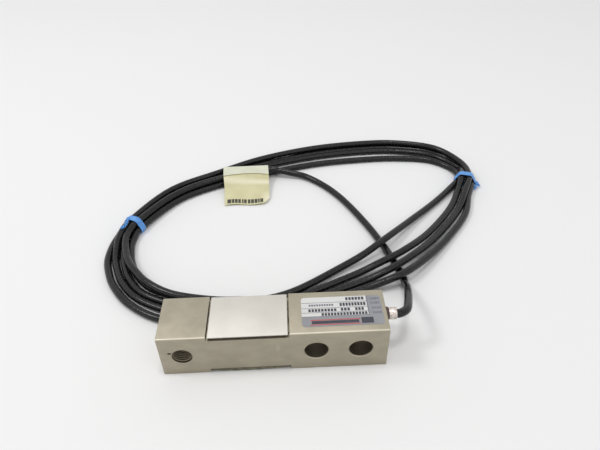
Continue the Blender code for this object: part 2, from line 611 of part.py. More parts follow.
def tie(name, sections, station, corner, tail):
    """A band round the hank at a station. A twisted tail leaves the given corner of its outline."""
    i = tie_step(station)
    near = [sections[(i + k) % len(sections)] for k in (-1, 0, 1)]
    mid = sections[i]
    inner = []
    outlines = [ring_outline(s, TIE_CLEAR, HANK_RAISED - TIE_CLEAR) for s in near]
    for k, points in enumerate(zip(*outlines)):
        a = [p[0] for p in points]
        pick = min(a) if k < 2 else max(a) if k >= len(outlines[0]) - 2 else a[1]
        inner.append((pick, max(p[1] for p in points)))
    centre_a = (inner[0][0] + inner[-1][0]) / 2
    outer = []
    for k, (a, z) in enumerate(inner):
        if k in (0, 1):
            outer.append((a - TIE_T, z - TIE_T if k == 0 else z))
        elif k >= len(inner) - 2:
            outer.append((a + TIE_T, z - TIE_T if k == len(inner) - 1 else z))
        else:
            outer.append((a + TIE_T * 0.8 * (a - centre_a) / 6, z + TIE_T))
    along = Vector((-mid[1][1], mid[1][0], 0))
    bm = bmesh.new()
    loops = []
    for outline in (inner, outer):
        for s in (-TIE_W / 2, TIE_W / 2):
            ring = []
            for a, z in outline:
                co = Vector((*(mid[0] + mid[1] * a)[:2], z)) + along * s
                ring.append(bm.verts.new(co * MM))
            loops.append(ring)
    m = len(inner)
    for k in range(m):
        j = (k + 1) % m
        bm.faces.new((loops[0][k], loops[0][j], loops[1][j], loops[1][k]))
        bm.faces.new((loops[2][k], loops[2][j], loops[3][j], loops[3][k]))
        bm.faces.new((loops[0][k], loops[0][j], loops[2][j], loops[2][k]))
        bm.faces.new((loops[1][k], loops[1][j], loops[3][j], loops[3][k]))
    band = from_bmesh(bm, name, ((0.08, 0.28, 0.72), 0.0, 0.4))
    a, z = (np.array(inner[corner]) + np.array(outer[corner])) / 2
    start = mid[0] + mid[1] * a
    spots = [np.array([start[0], start[1], z])] + [np.array(p) for p in tail]
    bm = bmesh.new()
    rings = []
    fine = smooth_route(spots, 4)
    for k, p in enumerate(fine):
        ahead = fine[min(k + 1, len(fine) - 1)] - fine[max(k - 1, 0)]
        ahead = Vector(ahead).normalized()
        across = ahead.cross(Vector((0, 0, 1))).normalized()
        up = across.cross(ahead)
        turn = k * TAIL_TWIST
        wide = min(TAIL_HALF_W, TAIL_START + TAIL_GROWTH * k)
        ring = []
        for a, b in ((-1, -1), (1, -1), (1, 1), (-1, 1)):
            u, v = a * wide, b * TAIL_HALF_T
            off_side = u * math.cos(turn) - v * math.sin(turn)
            off_up = u * math.sin(turn) + v * math.cos(turn)
            ring.append(bm.verts.new((Vector(p) + across * off_side + up * off_up) * MM))
        rings.append(ring)
    for a, b in zip(rings[:-1], rings[1:]):
        for k in range(4):
            bm.faces.new((a[k], a[(k + 1) % 4], b[(k + 1) % 4], b[k]))
    bm.faces.new(rings[0])
    bm.faces.new(rings[-1][::-1])
    combine(band, [from_bmesh(bm, name + "Tail")], "UNION")


def flag_tag():
    """A paper flag folded over the hank's inner strands, its doubled end lying on the table."""
    bm = bmesh.new()
    rings = []
    steps = 8
    for s in range(steps + 1):
        f = s / steps
        x = TAG_X[0] + (TAG_X[1] - TAG_X[0]) * f
        line = [(y + (v - y) * f, z + (w - z) * f) for (y, z), (v, w) in zip(TAG_LEFT, TAG_RIGHT)]
        upper, lower = [], []
        for k, (y, z) in enumerate(line):
            ahead = line[min(k + 1, len(line) - 1)]
            back = line[max(k - 1, 0)]
            run = Vector((ahead[0] - back[0], ahead[1] - back[1])).normalized()
            free = max(0.0, k - 8) / (len(line) - 9)
            y += 0.9 * free * math.sin(f * 7)
            z += 0.3 * free * (1 + math.sin(f * 9))
            over = x + (TAG_SKEW[0] * (1 - f) + TAG_SKEW[1] * f) * k / (len(line) - 1)
            for rows, sign in ((upper, 1), (lower, -1)):
                rows.append(Vector((over, y + sign * run.y * TAG_T / 2, z - sign * run.x * TAG_T / 2)))
        rings.append([bm.verts.new(v * MM) for v in upper + lower[::-1]])
    m = len(rings[0])
    for r, t in zip(rings[:-1], rings[1:]):
        for k in range(m):
            bm.faces.new((r[k], r[(k + 1) % m], t[(k + 1) % m], t[k]))
    for ring in (rings[0], rings[-1]):
        for k in range(m // 2 - 1):
            bm.faces.new((ring[k], ring[k + 1], ring[m - 2 - k], ring[m - 1 - k]))
    from_bmesh(bm, "flag_tag", ((0.72, 0.72, 0.48), 0.0, 0.7))


clear_scene()
beam_body()
covers()
web_parts()
inside_wires()
gland()
label()
route = smooth_route(cable_points(), PER_STATION)
route[:, 2] = np.maximum(route[:, 2], CABLE_D / 2)
coil, hank = cable_coil(route)
cable_runs(route)
cable_end()
tie("left_tie", hank, "leftTie", -4, LEFT_TAIL)
tie("right_tie", hank, "rightTie", -2, RIGHT_TAIL)
flag_tag()
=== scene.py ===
import math

import bpy
import numpy as np
from mathutils import Matrix, Vector


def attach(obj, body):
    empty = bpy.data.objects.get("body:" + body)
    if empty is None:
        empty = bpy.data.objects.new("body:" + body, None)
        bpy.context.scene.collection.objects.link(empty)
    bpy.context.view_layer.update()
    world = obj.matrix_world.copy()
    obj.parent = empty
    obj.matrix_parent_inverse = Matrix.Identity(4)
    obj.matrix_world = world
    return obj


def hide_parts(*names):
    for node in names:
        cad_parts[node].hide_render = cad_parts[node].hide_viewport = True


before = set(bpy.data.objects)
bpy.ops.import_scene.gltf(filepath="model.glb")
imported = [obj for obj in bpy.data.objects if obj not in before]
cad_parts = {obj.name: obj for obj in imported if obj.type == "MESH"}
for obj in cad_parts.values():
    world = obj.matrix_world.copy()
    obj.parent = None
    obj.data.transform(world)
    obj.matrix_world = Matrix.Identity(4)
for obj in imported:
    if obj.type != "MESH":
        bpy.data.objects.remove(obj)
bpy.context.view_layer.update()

mm = 0.001  # sizes below are in millimetres, the scene is in metres
fullTurn = 2 * math.pi


# helpers for modelling

def setMode(mode):
    bpy.ops.object.mode_set(mode=mode)


def clearSelection():
    if bpy.context.mode != "OBJECT":
        setMode("OBJECT")
    bpy.ops.object.select_all(action="DESELECT")


def makeActive(piece):
    clearSelection()
    piece.select_set(True)
    bpy.context.view_layer.objects.active = piece


def applyPlace(piece):
    makeActive(piece)
    bpy.ops.object.transform_apply(location=True, rotation=True, scale=True)
    return piece


def newObject(name, data):
    piece = bpy.data.objects.new(name, data)
    bpy.context.scene.collection.objects.link(piece)
    return piece


def addBlock(name, low, high):
    clearSelection()
    centre = [(a + b) / 2 * mm for a, b in zip(low, high)]
    bpy.ops.mesh.primitive_cube_add(size=1, location=centre)
    piece = bpy.context.active_object
    piece.name = name
    piece.scale = [(b - a) * mm for a, b in zip(low, high)]
    return applyPlace(piece)


def addBall(centre, radius, shape, detail):
    clearSelection()
    bpy.ops.mesh.primitive_ico_sphere_add(subdivisions=detail, radius=radius * mm, scale=shape,
                                          location=[v * mm for v in centre])
    return applyPlace(bpy.context.active_object)


def rodCutter(axis, centre, start, stop, radius, sides):
    # centre holds the two coordinates across the axis, in the order of the other two axes
    clearSelection()
    middle = list(centre)
    middle.insert("XYZ".index(axis), (start + stop) / 2)
    turn = {"X": (0, fullTurn / 4, 0), "Z": (0, 0, 0)}[axis]
    bpy.ops.mesh.primitive_cylinder_add(vertices=sides, radius=radius * mm, depth=(stop - start) * mm,
                                        location=[v * mm for v in middle], rotation=turn)
    return applyPlace(bpy.context.active_object)


def applyModifier(piece, kind, **settings):
    makeActive(piece)
    modifier = piece.modifiers.new(kind.lower(), kind)
    for key, value in settings.items():
        setattr(modifier, key, value)
    bpy.ops.object.modifier_apply(modifier=modifier.name)


def cutWith(piece, cutters):
    for cutter in cutters:
        applyModifier(piece, "BOOLEAN", operation="DIFFERENCE", solver="EXACT", object=cutter)
        bpy.data.objects.remove(cutter, do_unlink=True)


def joined(parts, name):
    makeActive(parts[0])
    for part in parts:
        part.select_set(True)
    bpy.ops.object.join()
    parts[0].name = name
    return parts[0]


def upright(middle, way):
    return abs(way.z) > 0.9


def bevelEdges(piece, width, segments, test=lambda middle, way: True):
    # bevels the edges whose middle and direction pass the test
    makeActive(piece)
    setMode("EDIT")
    bpy.ops.mesh.select_mode(type="EDGE")
    bpy.ops.mesh.select_all(action="DESELECT")
    setMode("OBJECT")
    for edge in piece.data.edges:
        a, b = (piece.data.vertices[i].co / mm for i in edge.vertices)
        edge.select = bool(test((a + b) / 2, (b - a).normalized()))
    setMode("EDIT")
    bpy.ops.mesh.bevel(offset=width * mm, segments=segments, affect="EDGES")
    setMode("OBJECT")


def softenEdges(piece, width):
    # a small bevel on every edge sharper than 50 degrees
    applyModifier(piece, "BEVEL", width=width * mm, segments=2, limit_method="ANGLE",
                  angle_limit=math.radians(50), harden_normals=False)


def smoothShade(piece, angle):
    makeActive(piece)
    bpy.ops.object.shade_smooth_by_angle(angle=math.radians(angle))


def editAll(piece, operator, **settings):
    # runs one mesh operator on the whole piece
    makeActive(piece)
    setMode("EDIT")
    bpy.ops.mesh.select_all(action="SELECT")
    operator(**settings)
    setMode("OBJECT")


def faceOutwards(piece):
    editAll(piece, bpy.ops.mesh.normals_make_consistent, inside=False)


def closeEnds(piece):
    editAll(piece, bpy.ops.mesh.fill_holes, sides=0)
    faceOutwards(piece)


def shapedGrid(name, columns, rows, place, closed=False):
    # a flat grid whose points are moved to place(u, v), with u and v from 0 to 1
    clearSelection()
    bpy.ops.mesh.primitive_grid_add(x_subdivisions=columns, y_subdivisions=rows, size=1)
    piece = bpy.context.active_object
    piece.name = name
    for vertex in piece.data.vertices:
        vertex.co = Vector(place(vertex.co.x + 0.5, vertex.co.y + 0.5)) * mm
    if closed:
        editAll(piece, bpy.ops.mesh.remove_doubles, threshold=0.004 * mm)
    return piece


def turnedPiece(name, axis, centre, profile, shade=None, steps=72):
    # profile holds (along the axis, radius) pairs; it is drawn as a strip of edges and spun
    piece = newObject(name, bpy.data.meshes.new(name))
    along = "XYZ".index(axis)
    points = []
    for at, radius in profile:
        co = [centre[0] + radius, centre[1]]
        co.insert(along, at)
        points.append([v * mm for v in co])
    piece.data.from_pydata(points, [(i, i + 1) for i in range(len(points) - 1)], [])
    middle = list(centre)
    middle.insert(along, 0)
    editAll(piece, bpy.ops.mesh.spin, steps=steps, angle=fullTurn, center=[v * mm for v in middle],
            axis=[float(i == along) for i in range(3)])
    editAll(piece, bpy.ops.mesh.remove_doubles, threshold=0.002 * mm)
    faceOutwards(piece)
    if shade:
        smoothShade(piece, shade)
    return piece


def addCurve(name, points, diameter, roundness):
    line = bpy.data.curves.new(name, "CURVE")
    line.dimensions = "3D"
    line.bevel_depth = diameter / 2 * mm
    line.bevel_resolution = roundness
    line.use_fill_caps = True
    spline = line.splines.new("POLY")
    spline.points.add(len(points) - 1)
    for point, co in zip(spline.points, points):
        point.co = (*(v * mm for v in co), 1)
    spline.use_smooth = True
    return newObject(name, line)


def smoothRoute(points, per):
    # even curve through the points, with per steps to each stretch
    p = np.array(points, float)
    q = np.vstack([2 * p[0] - p[1], p, 2 * p[-1] - p[-2]])
    out = []
    for i in range(1, len(q) - 2):
        a, b, c, e = q[i - 1:i + 3]
        for s in np.arange(per) / per:
            out.append(0.5 * (2 * b + (c - a) * s + (2 * a - 5 * b + 4 * c - e) * s**2
                              + (3 * b - a - 3 * c + e) * s**3))
    out.append(p[-1])
    return np.array(out)


# helpers for finishes

def inputsOf(finish):
    return finish.node_tree.nodes["Principled BSDF"].inputs


def newFinish(name, metallic, roughness):
    finish = bpy.data.materials.new(name)
    finish.use_nodes = True
    inputsOf(finish)["Metallic"].default_value = metallic
    inputsOf(finish)["Roughness"].default_value = roughness
    return finish


def addNode(finish, kind, inputs=None, **settings):
    node = finish.node_tree.nodes.new(kind)
    for key, value in settings.items():
        setattr(node, key, value)
    for key, value in (inputs or {}).items():
        if isinstance(value, bpy.types.NodeSocket):
            finish.node_tree.links.new(value, node.inputs[key])
        else:
            node.inputs[key].default_value = value
    return node


def patternSpace(finish, stretch, shift=(0, 0, 0)):
    coords = addNode(finish, "ShaderNodeTexCoord")
    mapping = addNode(finish, "ShaderNodeMapping", {"Vector": coords.outputs["Object"], "Scale": stretch,
                                                    "Location": shift})
    return mapping.outputs["Vector"]


def noise(finish, space, size, detail):
    # size is the width of one patch in millimetres
    node = addNode(finish, "ShaderNodeTexNoise", {"Vector": space, "Scale": 1 / (size * mm), "Detail": detail,
                                                  "Roughness": 0.55})
    return node.outputs["Fac"]


def ramp(finish, value, stops):
    node = addNode(finish, "ShaderNodeValToRGB", {"Fac": value})
    marks = node.color_ramp.elements
    while len(marks) < len(stops):
        marks.new(0.5)
    for mark, (place, colour) in zip(marks, stops):
        mark.position = place
        mark.color = (*colour, 1)
    return node.outputs["Color"]


def scaled(finish, value, low, high, fromLow=0.3, fromHigh=0.7):
    node = addNode(finish, "ShaderNodeMapRange", {"Value": value, "From Min": fromLow, "From Max": fromHigh,
                                                  "To Min": low, "To Max": high})
    return node.outputs["Result"]


def calculated(finish, operation, first, second):
    return addNode(finish, "ShaderNodeMath", {0: first, 1: second}, operation=operation).outputs[0]


def connect(finish, **outputs):
    names = {"colour": "Base Color", "roughness": "Roughness", "normal": "Normal"}
    for key, value in outputs.items():
        finish.node_tree.links.new(value, inputsOf(finish)[names[key]])


def spot(finish, centre, radii, inner):
    # 1 inside an ellipsoid, falling to 0 from the inner share of its radii; None ignores an axis
    scale = [0 if radius is None else 1 / (radius * mm) for radius in radii]
    shift = [0 if at is None else -at * mm * size for at, size in zip(centre, scale)]
    space = patternSpace(finish, scale, shift)
    length = addNode(finish, "ShaderNodeVectorMath", {0: space}, operation="LENGTH").outputs["Value"]
    return scaled(finish, length, 1, 0, inner, 1)


def overlay(finish, layers):
    # lays colours over a finish; layers hold (amount from 0 to 1, colour)
    colour = inputsOf(finish)["Base Color"].links[0].from_socket
    for amount, shade in layers:
        inputs = {0: amount, 6: colour, 7: (*shade, 1)}
        colour = addNode(finish, "ShaderNodeMix", inputs, data_type="RGBA").outputs[2]
    connect(finish, colour=colour)


def addRelief(finish, layers):
    # layers hold (height from 0 to 1, its depth in millimetres), the deepest first
    normal = None
    for height, depth in layers:
        inputs = {"Height": height, "Distance": depth * mm, "Strength": 1.0}
        if normal:
            inputs["Normal"] = normal
        normal = addNode(finish, "ShaderNodeBump", inputs).outputs["Normal"]
    connect(finish, normal=normal)


def mottledFinish(name, look):
    # two close colours in soft patches, uneven gloss and a fine grain
    finish = newFinish(name, look.get("metallic", 0.0), look["gloss"][0])
    inputsOf(finish)["Specular IOR Level"].default_value = look.get("shine", 0.5)
    space = patternSpace(finish, look.get("stretch", (1, 1, 1)))
    patch = noise(finish, space, look["patch"], 4.0)
    grain = noise(finish, space, look["grain"], 2.0)
    connect(finish, colour=ramp(finish, patch, [(0.32, look["dark"]), (0.68, look["light"])]),
            roughness=scaled(finish, patch, *look["gloss"]))
    addRelief(finish, [(patch, look.get("wave", 0.0)), (grain, look["depth"])])
    return finish


def tinted(look, light, dark):
    return {**look, "light": light, "dark": dark}


def dress(piece, finish, slotName, *nodes):
    # gives a finished piece its finish, hangs it under the root and hides the CAD nodes that it stands for
    piece.data.materials.clear()
    piece.data.materials.append(finish)
    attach(piece, "root")
    if nodes:
        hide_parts(*nodes)
    return piece


# camera, at the photograph's place and angle
cameraSetup = {
    "place": (10.45, -204.87, 260.24),
    "ahead": (0.0227, 0.7787, -0.627),
    "up": (0.0394, 0.626, 0.7789),
    "lens": 31.78,
}
cameraData = bpy.data.cameras.new("photoCamera")
cameraData.lens = cameraSetup["lens"]
cameraData.sensor_width = 36
cameraData.clip_start = 0.01
cameraData.clip_end = 30
camera = newObject("photoCamera", cameraData)
back = -Vector(cameraSetup["ahead"]).normalized()
right = Vector(cameraSetup["up"]).cross(back).normalized()
camera.matrix_world = Matrix.Translation(Vector(cameraSetup["place"]) * mm) @ Matrix(
    (right, back.cross(right), back)).transposed().to_4x4()
bpy.context.scene.camera = camera
print("camera placed")

# cable: the same route as the solids. Each station holds where the innermost run lies, then how far
# outside it each run lies and how far it is lifted off the table, both in cable diameters.
cable = {
    "diameter": 5.2,
    "exit": (68.0, 0.0, 27.0),
    "length": 3.53,
    "runs": 5,
    "perStation": 6,
    "swapStation": "back3",  # up to here the first two runs lie in each other's lanes
    "firstRunLane": (1, 0, 2, 3, 4),
    "tailStation": "back1", "tailStart": 5, "tailGap": 3, "tailSteps": 4,  # where the free end leaves the coil
}
stations = [
    ("tagRight", (-5, 190.5), (0, 2.1, 3.4, 2.95, 3), (0, 0, 0.85, 0, 0)),
    ("tagLeft", (-44, 175.5), (0, 0.5, 1.4, 2.3, 2.9), (0, 0.9, 0, 0.85, 0)),
    ("topLeft", (-78, 155.5), (0, 0.6, 1.2, 2.1, 2.6), (0, 0.85, 0, 0.85, 0)),
    ("leftTie", (-101.5, 122), (0, 0.54, 1.08, 1.62, 2.16), (0.2, 1.05, 0.2, 1.05, 0.2)),
    ("left1", (-106.7, 105), (0, 0.75, 1.2, 1.75, 2.45), (0, 0.92, 0, 0.85, 0)),
    ("left2", (-104.8, 88), (0, 0.55, 1.02, 2.06, 3.12), (0, 0.92, 0, 0.1, 0)),
    ("left3", (-100.5, 76), (0.1, 0.48, 1.13, 2.18, 3.35), (0, 0.96, 0, 0, 0)),
    ("left4", (-94, 65.5), (0.25, 0.38, 1.42, 2.44, 3.6), (0, 1.01, 0, 0, 0)),
    ("left5", (-84.5, 54.5), (0.2, 0.35, 1.47, 2.49, 3.74), (0, 1.01, 0, 0, 0)),
    ("left6", (-66, 45.5), (0.25, 0.75, 1.6, 2.7, 4.2), (0, 0.92, 0, 0, 0)),
    ("back1", (-40, 36.5), (0, 0.35, 1.3, 2.36, 3.38), (0, 1, 0, 0, 0.1)),
    ("back2", (-22, 34), (0, 0.12, 1.04, 2.06, 2.9), (0, 1.03, 0, 0, 0.75)),
    ("back3", (-6, 37.2), (0, 1.04, 2.08, 3.08, 3.56), (0.2, 0, 0, 0, 0.9)),
    ("back4", (16, 45), (0, 1.05, 2.1, 3.2, 4.5), (0.2, 0, 0, 0, 0)),
    ("right1", (48, 66), (0.1, 2.24, 3.9, 5.15, 6), (0.25, 0.2, 0.3, 0.35, 0)),
    ("right2", (64, 76), (0.23, 2.86, 4.75, 6.4, 6), (0.75, 0.8, 1.05, 1.15, 0)),
    ("right3", (80, 90), (0.4, 3.75, 5.1, 6.65, 7), (1.07, 1.05, 0.9, 0.75, 0)),
    ("right4", (103, 111), (0.02, 3.6, 4.81, 6.21, 7), (0.4, 0.4, 0.2, 0.15, 0)),
    ("right5", (130, 137.5), (0.02, 2.69, 3.92, 5.2, 5.5), (0, 0.1, 0, 0, 0)),
    ("right6", (147, 156), (0.1, 1.5, 2.65, 3.35, 5.5), (0.05, 0.4, 0.7, 0, 0)),
    ("rightTie", (158.5, 169.5), (0, 0.4, 1.5, 2, 2), (0.2, 1.1, 1.1, 0.2, 0)),
    ("corner", (157.5, 185.5), (0, 1, 1.55, 2.05, 2), (0, 0.12, 0.95, 0, 0)),
    ("top1", (141, 201), (0, 1.75, 2.9, 2.75, 3), (0, 0, 0.92, 0, 0)),
    ("top2", (114, 206.5), (0, 2.3, 3.75, 3.35, 4), (0, 0, 0.9, 0, 0)),
    ("top3", (85, 207), (0, 2.5, 3.95, 3.55, 4), (0, 0, 0.9, 0, 0)),
    ("top4", (40, 202.5), (0, 2.3, 3.75, 3.35, 4), (0, 0, 0.9, 0, 0)),
]
leadPoints = [
    (68.0, 0, 27), (69.9, 0, 27), (73.3, 0, 26.7), (78.2, 3.8, 25.5), (81, 11.6, 22.7), (83.7, 22.5, 18.4),
    (85.9, 32, 12.8), (87.4, 39.6, 7.8), (88, 46, 3.6), (88.1, 53, 2.6), (86.4, 61.5, 2.6), (82.4, 79, 2.6),
    (77.9, 93.5, 2.6), (72.6, 109, 2.6), (63.1, 132, 2.6), (53, 152, 2.6), (41.1, 169, 2.6), (27.1, 181.6, 3.4),
    (14.1, 185.6, 4.9), (5, 187.2, 6.4), (-5, 188.3, 7.3),
]
endPoints = [
    (-8, 18.6, 7.6), (0, 18.6, 7.6), (6, 18.9, 6.6), (11, 19.6, 4.6), (15.5, 20.3, 3.6), (19.5, 20.4, 3.6),
    (24, 20.4, 3.6),
]
stationNames = [station[0] for station in stations]


def routeIndex(run, name):
    # the point of the smoothed route that lies at a station
    stretches = len(leadPoints) - 1 + run * len(stations) + stationNames.index(name)
    return stretches * cable["perStation"]


def cableRoute():
    # the lead, then every turn of the coil station by station, then the free end behind the beam
    guide = np.array([station[1] for station in stations], float)
    swap = stationNames.index(cable["swapStation"])
    lastRun = cable["runs"] - 1
    controls = list(leadPoints)
    for run in range(cable["runs"]):
        for j, (across, lift) in enumerate(station[2:] for station in stations):
            if (run == 0 and j == 0) or (run == lastRun and j >= swap):
                continue
            lane = cable["firstRunLane"][run] if 0 < j < swap else run - (j == 0)
            ahead = guide[(j + 1) % len(guide)] - guide[j - 1]
            ahead /= np.linalg.norm(ahead)
            x, y = guide[j] + np.array([ahead[1], -ahead[0]]) * across[lane] * cable["diameter"]
            controls.append((x, y, cable["diameter"] * (0.5 + lift[lane])))
    fine = smoothRoute(controls, cable["perStation"])
    fine[:, 2] = np.maximum(fine[:, 2], cable["diameter"] / 2)
    first = routeIndex(lastRun, cable["tailStation"]) + cable["tailStart"]
    last = [p for p in fine[first:] if p[0] < endPoints[0][0] - cable["tailGap"]]
    tail = smoothRoute(last[::2] + [np.array(p) for p in endPoints], cable["tailSteps"])
    return fine, np.vstack([fine[:first], tail])


coilRoute, fullRoute = cableRoute()
cableRun = addCurve("cableRun", fullRoute, cable["diameter"], 6)
routeLength = float(np.linalg.norm(np.diff(fullRoute, axis=0), axis=1).sum()) * mm
print(f"cable laid, {routeLength:.3f} m")


# jacket: satin black with a fine grain
jacketLook = {"light": (0.016, 0.016, 0.0165), "dark": (0.0025, 0.0025, 0.0027), "patch": 1.8,
              "gloss": (0.12, 0.26), "grain": 0.5, "depth": 0.02, "wave": 0.1, "shine": 0.3}
dress(cableRun, mottledFinish("cableJacket", jacketLook), "jacket", "cable_exit_run", "cable_inner_run",
      "cable_diagonal_run", "cable_coil", "cable_end_run")


# beam: one machined block
beam = {
    "half": 15.5, "length": 130.0, "edge": 0.4, "softEdge": 0.12,
    "recess": (-37.6, 9.0), "recessDepth": 3.2,
    "pocket": (-33.0, 4.0), "pocketHalf": 9.5, "pocketCorner": 3.0, "webHalf": 2.0,
    "webHole": (-0.4, 5.5), "webHoleRadius": 1.7,
    "wireBoreHeight": 26.2, "wireBoreRadius": 1.4,
    "spigotStart": 59.3, "spigotRadius": 3.1, "glandHeight": 27.0,
    "mountHoles": (23.9, 49.3), "mountRadius": 6.75, "mountSink": 0.5,
    "loadHole": -52.3, "loadSink": 0.2,
    "threadRoot": 5.75, "threadCrest": 5.2, "threadPitch": 1.27, "threadFoot": 0.56, "threadTip": 0.12,
    "nick": (-59.1, 18.6), "nickRadius": 0.9, "nickShape": (1.5, 1, 0.55), "palePatch": (2.1, 19.6),
}


def holeCutter(x, radius, sink):
    # a bore right through the beam with a shallow cone at each end
    half = beam["half"]
    over = 1.0
    profile = [(-half - over, 0), (-half - over, radius + sink + over), (-half + sink, radius),
               (half - sink, radius), (half + over, radius + sink + over), (half + over, 0)]
    return turnedPiece("cutter", "Y", (x, half), profile, steps=96)


def makeBeam():
    half, length, depth = beam["half"], beam["length"] / 2, beam["recessDepth"]
    top = 2 * half
    block = addBlock("beamBlock", (-length, -half, 0), (length, half, top))
    bevelEdges(block, beam["edge"], 3)
    a, b = beam["recess"]
    cutters = [addBlock("cutter", (a, -half - 1, top - depth), (b, half + 1, top + 1)),
               addBlock("cutter", (a, -half - 1, -1), (b, half + 1, depth))]
    a, b = beam["pocket"]
    for low, high in ((half + beam["webHalf"], top - depth + 1), (depth - 1, half - beam["webHalf"])):
        pocket = addBlock("cutter", (a, -beam["pocketHalf"], low), (b, beam["pocketHalf"], high))
        bevelEdges(pocket, beam["pocketCorner"], 6, upright)
        cutters.append(pocket)
    spigot = beam["spigotStart"]
    cutters += [rodCutter("Z", beam["webHole"], half - 3, half + 3, beam["webHoleRadius"], 32),
                rodCutter("X", (0, beam["wireBoreHeight"]), b - 1, spigot + 1, beam["wireBoreRadius"], 32),
                rodCutter("X", (0, beam["glandHeight"]), spigot, length + 1, beam["spigotRadius"], 48)]
    cutters += [holeCutter(x, beam["mountRadius"], beam["mountSink"]) for x in beam["mountHoles"]]
    cutters.append(holeCutter(beam["loadHole"], beam["threadRoot"], beam["loadSink"]))
    x, z = beam["nick"]
    cutters.append(addBall((x, -half - 0.2, z), beam["nickRadius"], beam["nickShape"], 2))
    cutWith(block, cutters)
    softenEdges(block, beam["softEdge"])
    smoothShade(block, 30)
    return block


# body: satin nickel plate over a milled face
bodyLook = {"light": (0.42, 0.382, 0.301), "dark": (0.36, 0.328, 0.256), "patch": 9.0, "metallic": 1.0,
            "gloss": (0.42, 0.5), "grain": 0.35, "depth": 0.012, "wave": 0.03, "stretch": (1, 1, 1.6),
            # the bore colours are painted shade in the bores; the colour laid along the top front edge is a
            # painted highlight
            "bore": (0.3, 0.27, 0.215), "threadBore": (0.17, 0.145, 0.105), "nick": (0.05, 0.04, 0.03),
            "edgeHighlight": (0.85, 0.79, 0.66), "edgeHighlightShare": 0.5, "palePatch": (0.5, 0.455, 0.375), "palePatchStrength": 0.45,
            "edgeHighlightWidth": 0.9, "palePatchReach": (1.6, 4, 4.6), "nickReach": (1.6, 1.4, 0.9), "boreRim": 0.1}


def makeBodyFinish():
    # painted highlight along the top front edge, paler in a soft upright patch on the front face, dark in the
    # nick, painted shade in the bores
    finish = mottledFinish("nickelPlate", bodyLook)
    half, (palePatchX, palePatchZ), (nickX, nickZ) = beam["half"], beam["palePatch"], beam["nick"]
    # painted highlight along the top front edge
    edge = spot(finish, (None, -half, 2 * half), (None, bodyLook["edgeHighlightWidth"], bodyLook["edgeHighlightWidth"]), 0.3)
    # paler in a soft upright patch on the front face
    palePatch = spot(finish, (palePatchX, -half, palePatchZ), bodyLook["palePatchReach"], 0.1)
    layers = [(calculated(finish, "MULTIPLY", edge, bodyLook["edgeHighlightShare"]), bodyLook["edgeHighlight"]),
              (calculated(finish, "MULTIPLY", palePatch, bodyLook["palePatchStrength"]), bodyLook["palePatch"]),
              (spot(finish, (nickX, -half, nickZ), bodyLook["nickReach"], 0.5), bodyLook["nick"])]
    # painted shade inside the mounting holes and the load hole
    holes = [(x, beam["mountRadius"], "bore") for x in beam["mountHoles"]]
    for x, radius, shade in holes + [(beam["loadHole"], beam["threadRoot"], "threadBore")]:
        radius += bodyLook["boreRim"]
        layers.append((spot(finish, (x, None, half), (radius, None, radius), 0.985), bodyLook[shade]))
    overlay(finish, layers)
    return finish


bodyFinish = makeBodyFinish()
dress(makeBeam(), bodyFinish, "body", "beam_body")
print("beam machined")


# thread in the load hole: a ridge wound along the bore
def makeThread():
    half, pitch = beam["half"], beam["threadPitch"]
    crest, foot, tip = beam["threadCrest"], beam["threadFoot"], beam["threadTip"]
    root = beam["threadRoot"] + 0.06  # the ridge's foot is sunk into the wall of the bore
    turns = int((2 * half - 2 * beam["loadSink"]) / pitch) - 1
    start = -turns * pitch / 2
    shape = [(root, -foot), (crest, -tip), (crest, tip), (root, foot)]

    def place(u, v):
        k = min(int(round(u * 4)), 4) % 4
        radius, along = shape[k]
        turn = fullTurn * turns * v
        return (beam["loadHole"] + radius * math.cos(turn), start + turns * pitch * v + along,
                half + radius * math.sin(turn))

    ridge = shapedGrid("loadThread", 4, turns * 48, place, closed=True)
    closeEnds(ridge)
    smoothShade(ridge, 25)
    return ridge


dress(makeThread(), bodyFinish, "body")
print("thread cut")


# covers over the gauge pockets
cover = {"x": (-36.6, 8.0), "half": 15.2, "thick": 0.8, "drop": 0.4, "edge": 0.22, "lowerHalf": 13.6}
steelLook = {"light": (0.655, 0.632, 0.585), "dark": (0.6, 0.577, 0.53), "patch": 22.0, "metallic": 1.0,
             "gloss": (0.46, 0.56), "grain": 0.4, "depth": 0.01, "wave": 0.05}
steelFinish = mottledFinish("coverSteel", steelLook)
a, b = cover["x"]
upperLow = 2 * beam["half"] - cover["drop"] - cover["thick"]
for name, half, low, node in (("upperCover", cover["half"], upperLow, "upper_cover_plate"),
                              ("lowerCover", cover["lowerHalf"], cover["drop"], "lower_cover_plate")):
    plate = addBlock(name, (a, -half, low), (b, half, low + cover["thick"]))
    bevelEdges(plate, cover["edge"], 3)
    smoothShade(plate, 40)
    dress(plate, steelFinish, "cover", node)


# sealant under both covers
sealant = {"bedHalf": 14.3, "low": 27.85, "high": 29.7, "set": 0.5, "window": 1.0,
           "beadHalf": 15.35, "beadDepth": 1.6, "beadTop": 2.9, "beadX": (-37.5, 8.9),
           "beadLow": (1.3, 0.5, 0.15, 0.12, 0.15, 0.4, 0.85, 1.5), "filmGap": 0.15, "filmSet": 0.6,
           "ripples": ((0.12, 0.9, 0), (0.05, 2.3, 1)), "squareness": (0.4, 0.45)}
bedLook = {"light": (0.075, 0.05, 0.032), "dark": (0.035, 0.022, 0.015), "patch": 2.2, "gloss": (0.4, 0.7),
           "grain": 0.5, "depth": 0.05, "wave": 0.3}
